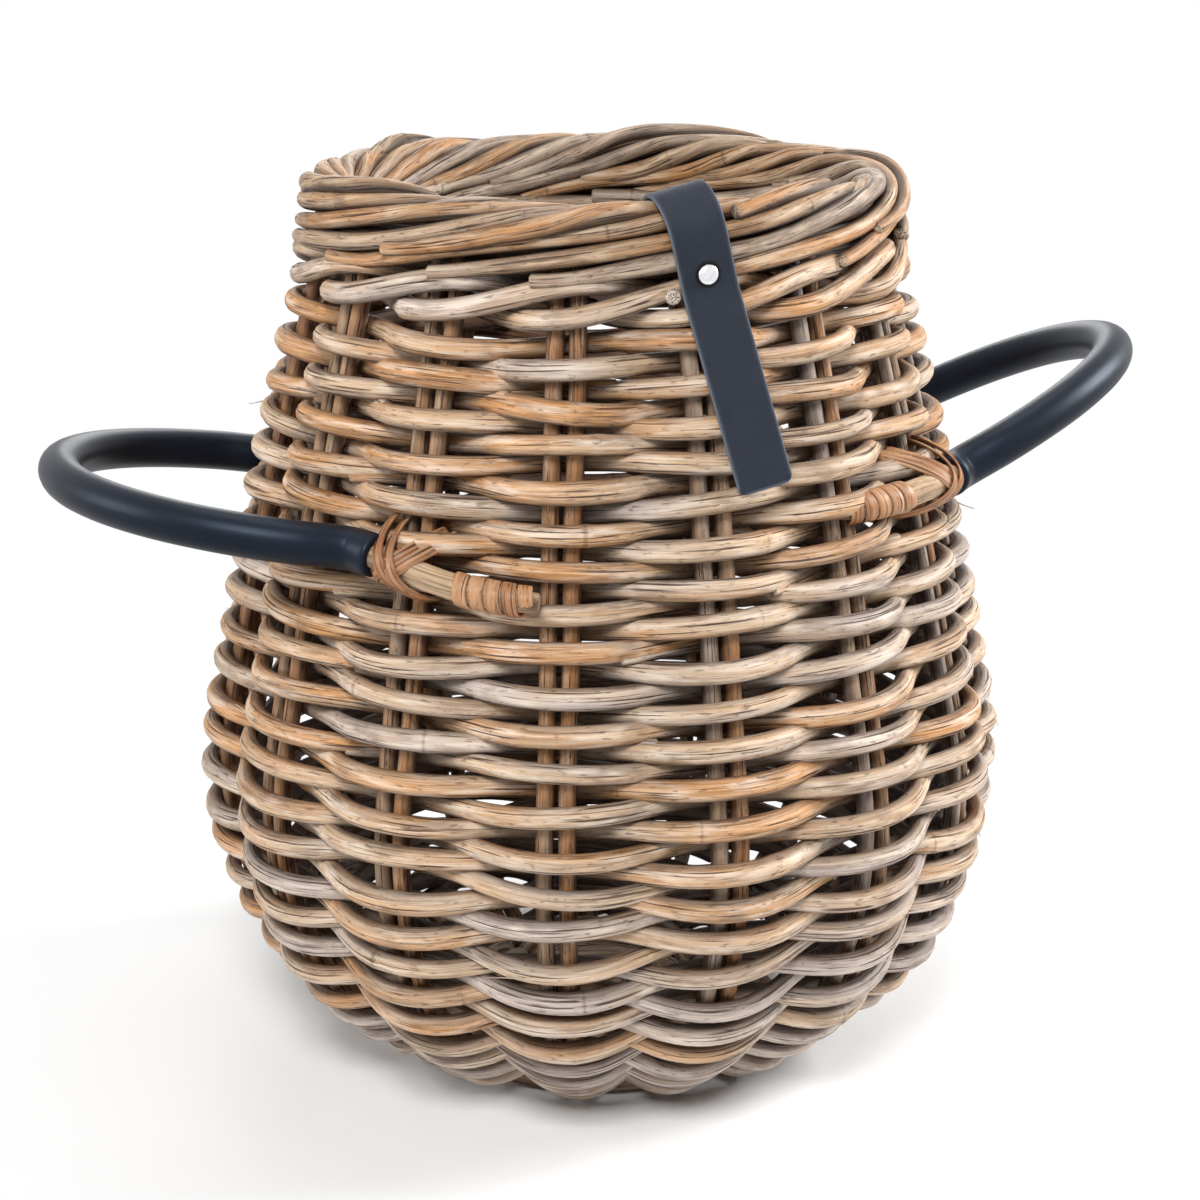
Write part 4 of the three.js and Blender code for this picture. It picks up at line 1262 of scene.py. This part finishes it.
# %% Steel material
steel, t, shader = new_material("polished rivet steel")
spot = add(t, "TexCoord").outputs["Object"]
hair, smear = noise(t, spot, 3.0, 2600.0), noise(t, spot, 3.0, 420.0)
shade = mix(t, ramp(t, smear, 0.3, 0.7), colour(226, 227, 230), colour(240, 240, 241))
fill(t, shader, Metallic=1.0, Base_Color=shade, Roughness=plus(t, 0.12, smear, 0.2),
     Normal=bump(t, hair, 0.15, 0.0001))
dress([rivet, washer], steel)
print("materials:", len(bpy.data.materials))

# %% [markdown]
# ## Floor and light
# The photograph has a white ground and soft light from the front and above, and both sides of
# the basket are bright. The floor is pale and keeps the basket's soft shadow; away from the
# basket it fades to plain white for the camera. From below the floor is clear, so that the base
# can be looked at. Large lamps light the canes from above and from the sides, and little light
# comes from all round, which leaves the gaps dark.

# %% Floor
def seen_light(tree):
    """1 for rays from the camera, from something shiny or through something clear, else 0."""
    path = add(tree, "LightPath").outputs
    return maths(tree, "MAXIMUM", path["Is Camera Ray"],
                 maths(tree, "MAXIMUM", path["Is Glossy Ray"], path["Is Transmission Ray"]))


white = (1.0, 1.0, 1.0, 1.0)
bpy.ops.mesh.primitive_plane_add(size=14.0, location=(0.0, 0.0, 0.0))
floor = bpy.context.object
floor.name = "floor"
ground, t, shader = new_material("white floor")
fill(t, shader, Base_Color=(0.86, 0.86, 0.86, 1.0), Roughness=0.9, Specular_IOR_Level=0.1)
glow = add(t, "Emission", None, Color=white, Strength=1.0).outputs[0]
place = add(t, "TexCoord").outputs["Object"]
distance = add(t, "VectorMath", {"operation": "LENGTH"}, i0=place).outputs["Value"]
clear = maths(t, "MULTIPLY", seen_light(t), ramp(t, distance, 0.16, 0.62))
shown = add(t, "MixShader", None, i0=clear, i1=shader.outputs[0], i2=glow).outputs[0]
below = maths(t, "MULTIPLY", add(t, "NewGeometry").outputs["Backfacing"],
              add(t, "LightPath").outputs["Is Camera Ray"])
nothing = add(t, "BsdfTransparent").outputs[0]
shown = add(t, "MixShader", None, i0=below, i1=shown, i2=nothing).outputs[0]
fill(t, t.nodes["Material Output"], Surface=shown)
floor.data.materials.append(ground)
print("floor:", [round(float(x), 1) for x in floor.dimensions[:2]], "m")

# %% Lamps and world
def softbox(name, place, aim_height, size, watts):
    """A square lamp at a place, turned to face a point on the basket's axis."""
    lamp = bpy.data.lights.new(name, "AREA")
    lamp.size, lamp.energy = size, watts
    thing = bpy.data.objects.new(name, lamp)
    thing.location = place
    to = unit(np.array([0.0, 0.0, aim_height]) - np.array(place))
    thing.rotation_euler = (math.acos(-to[2]), 0.0, math.atan2(to[1], to[0]) - math.pi / 2)
    bpy.context.scene.collection.objects.link(thing)


softbox("key", (-0.9, -2.0, 2.2), 0.25, 0.9, 69)
softbox("left side", (-2.3, 0.1, 1.1), 0.22, 1.1, 30)
softbox("right side", (2.2, -0.2, 1.4), 0.22, 1.1, 84)
softbox("behind", (0.6, 2.4, 1.3), 0.2, 1.1, 16)
softbox("top", (0.2, 0.5, 2.6), 0.3, 1.2, 13)
world = bpy.data.worlds.new("studio")
bpy.context.scene.world = world
world.use_nodes = True
t = world.node_tree
fill(t, t.nodes["Background"], Color=white, Strength=plus(t, 0.12, seen_light(t), 0.88))
bpy.context.scene.view_settings.view_transform = "Standard"
print("lamps:", len(bpy.data.lights))
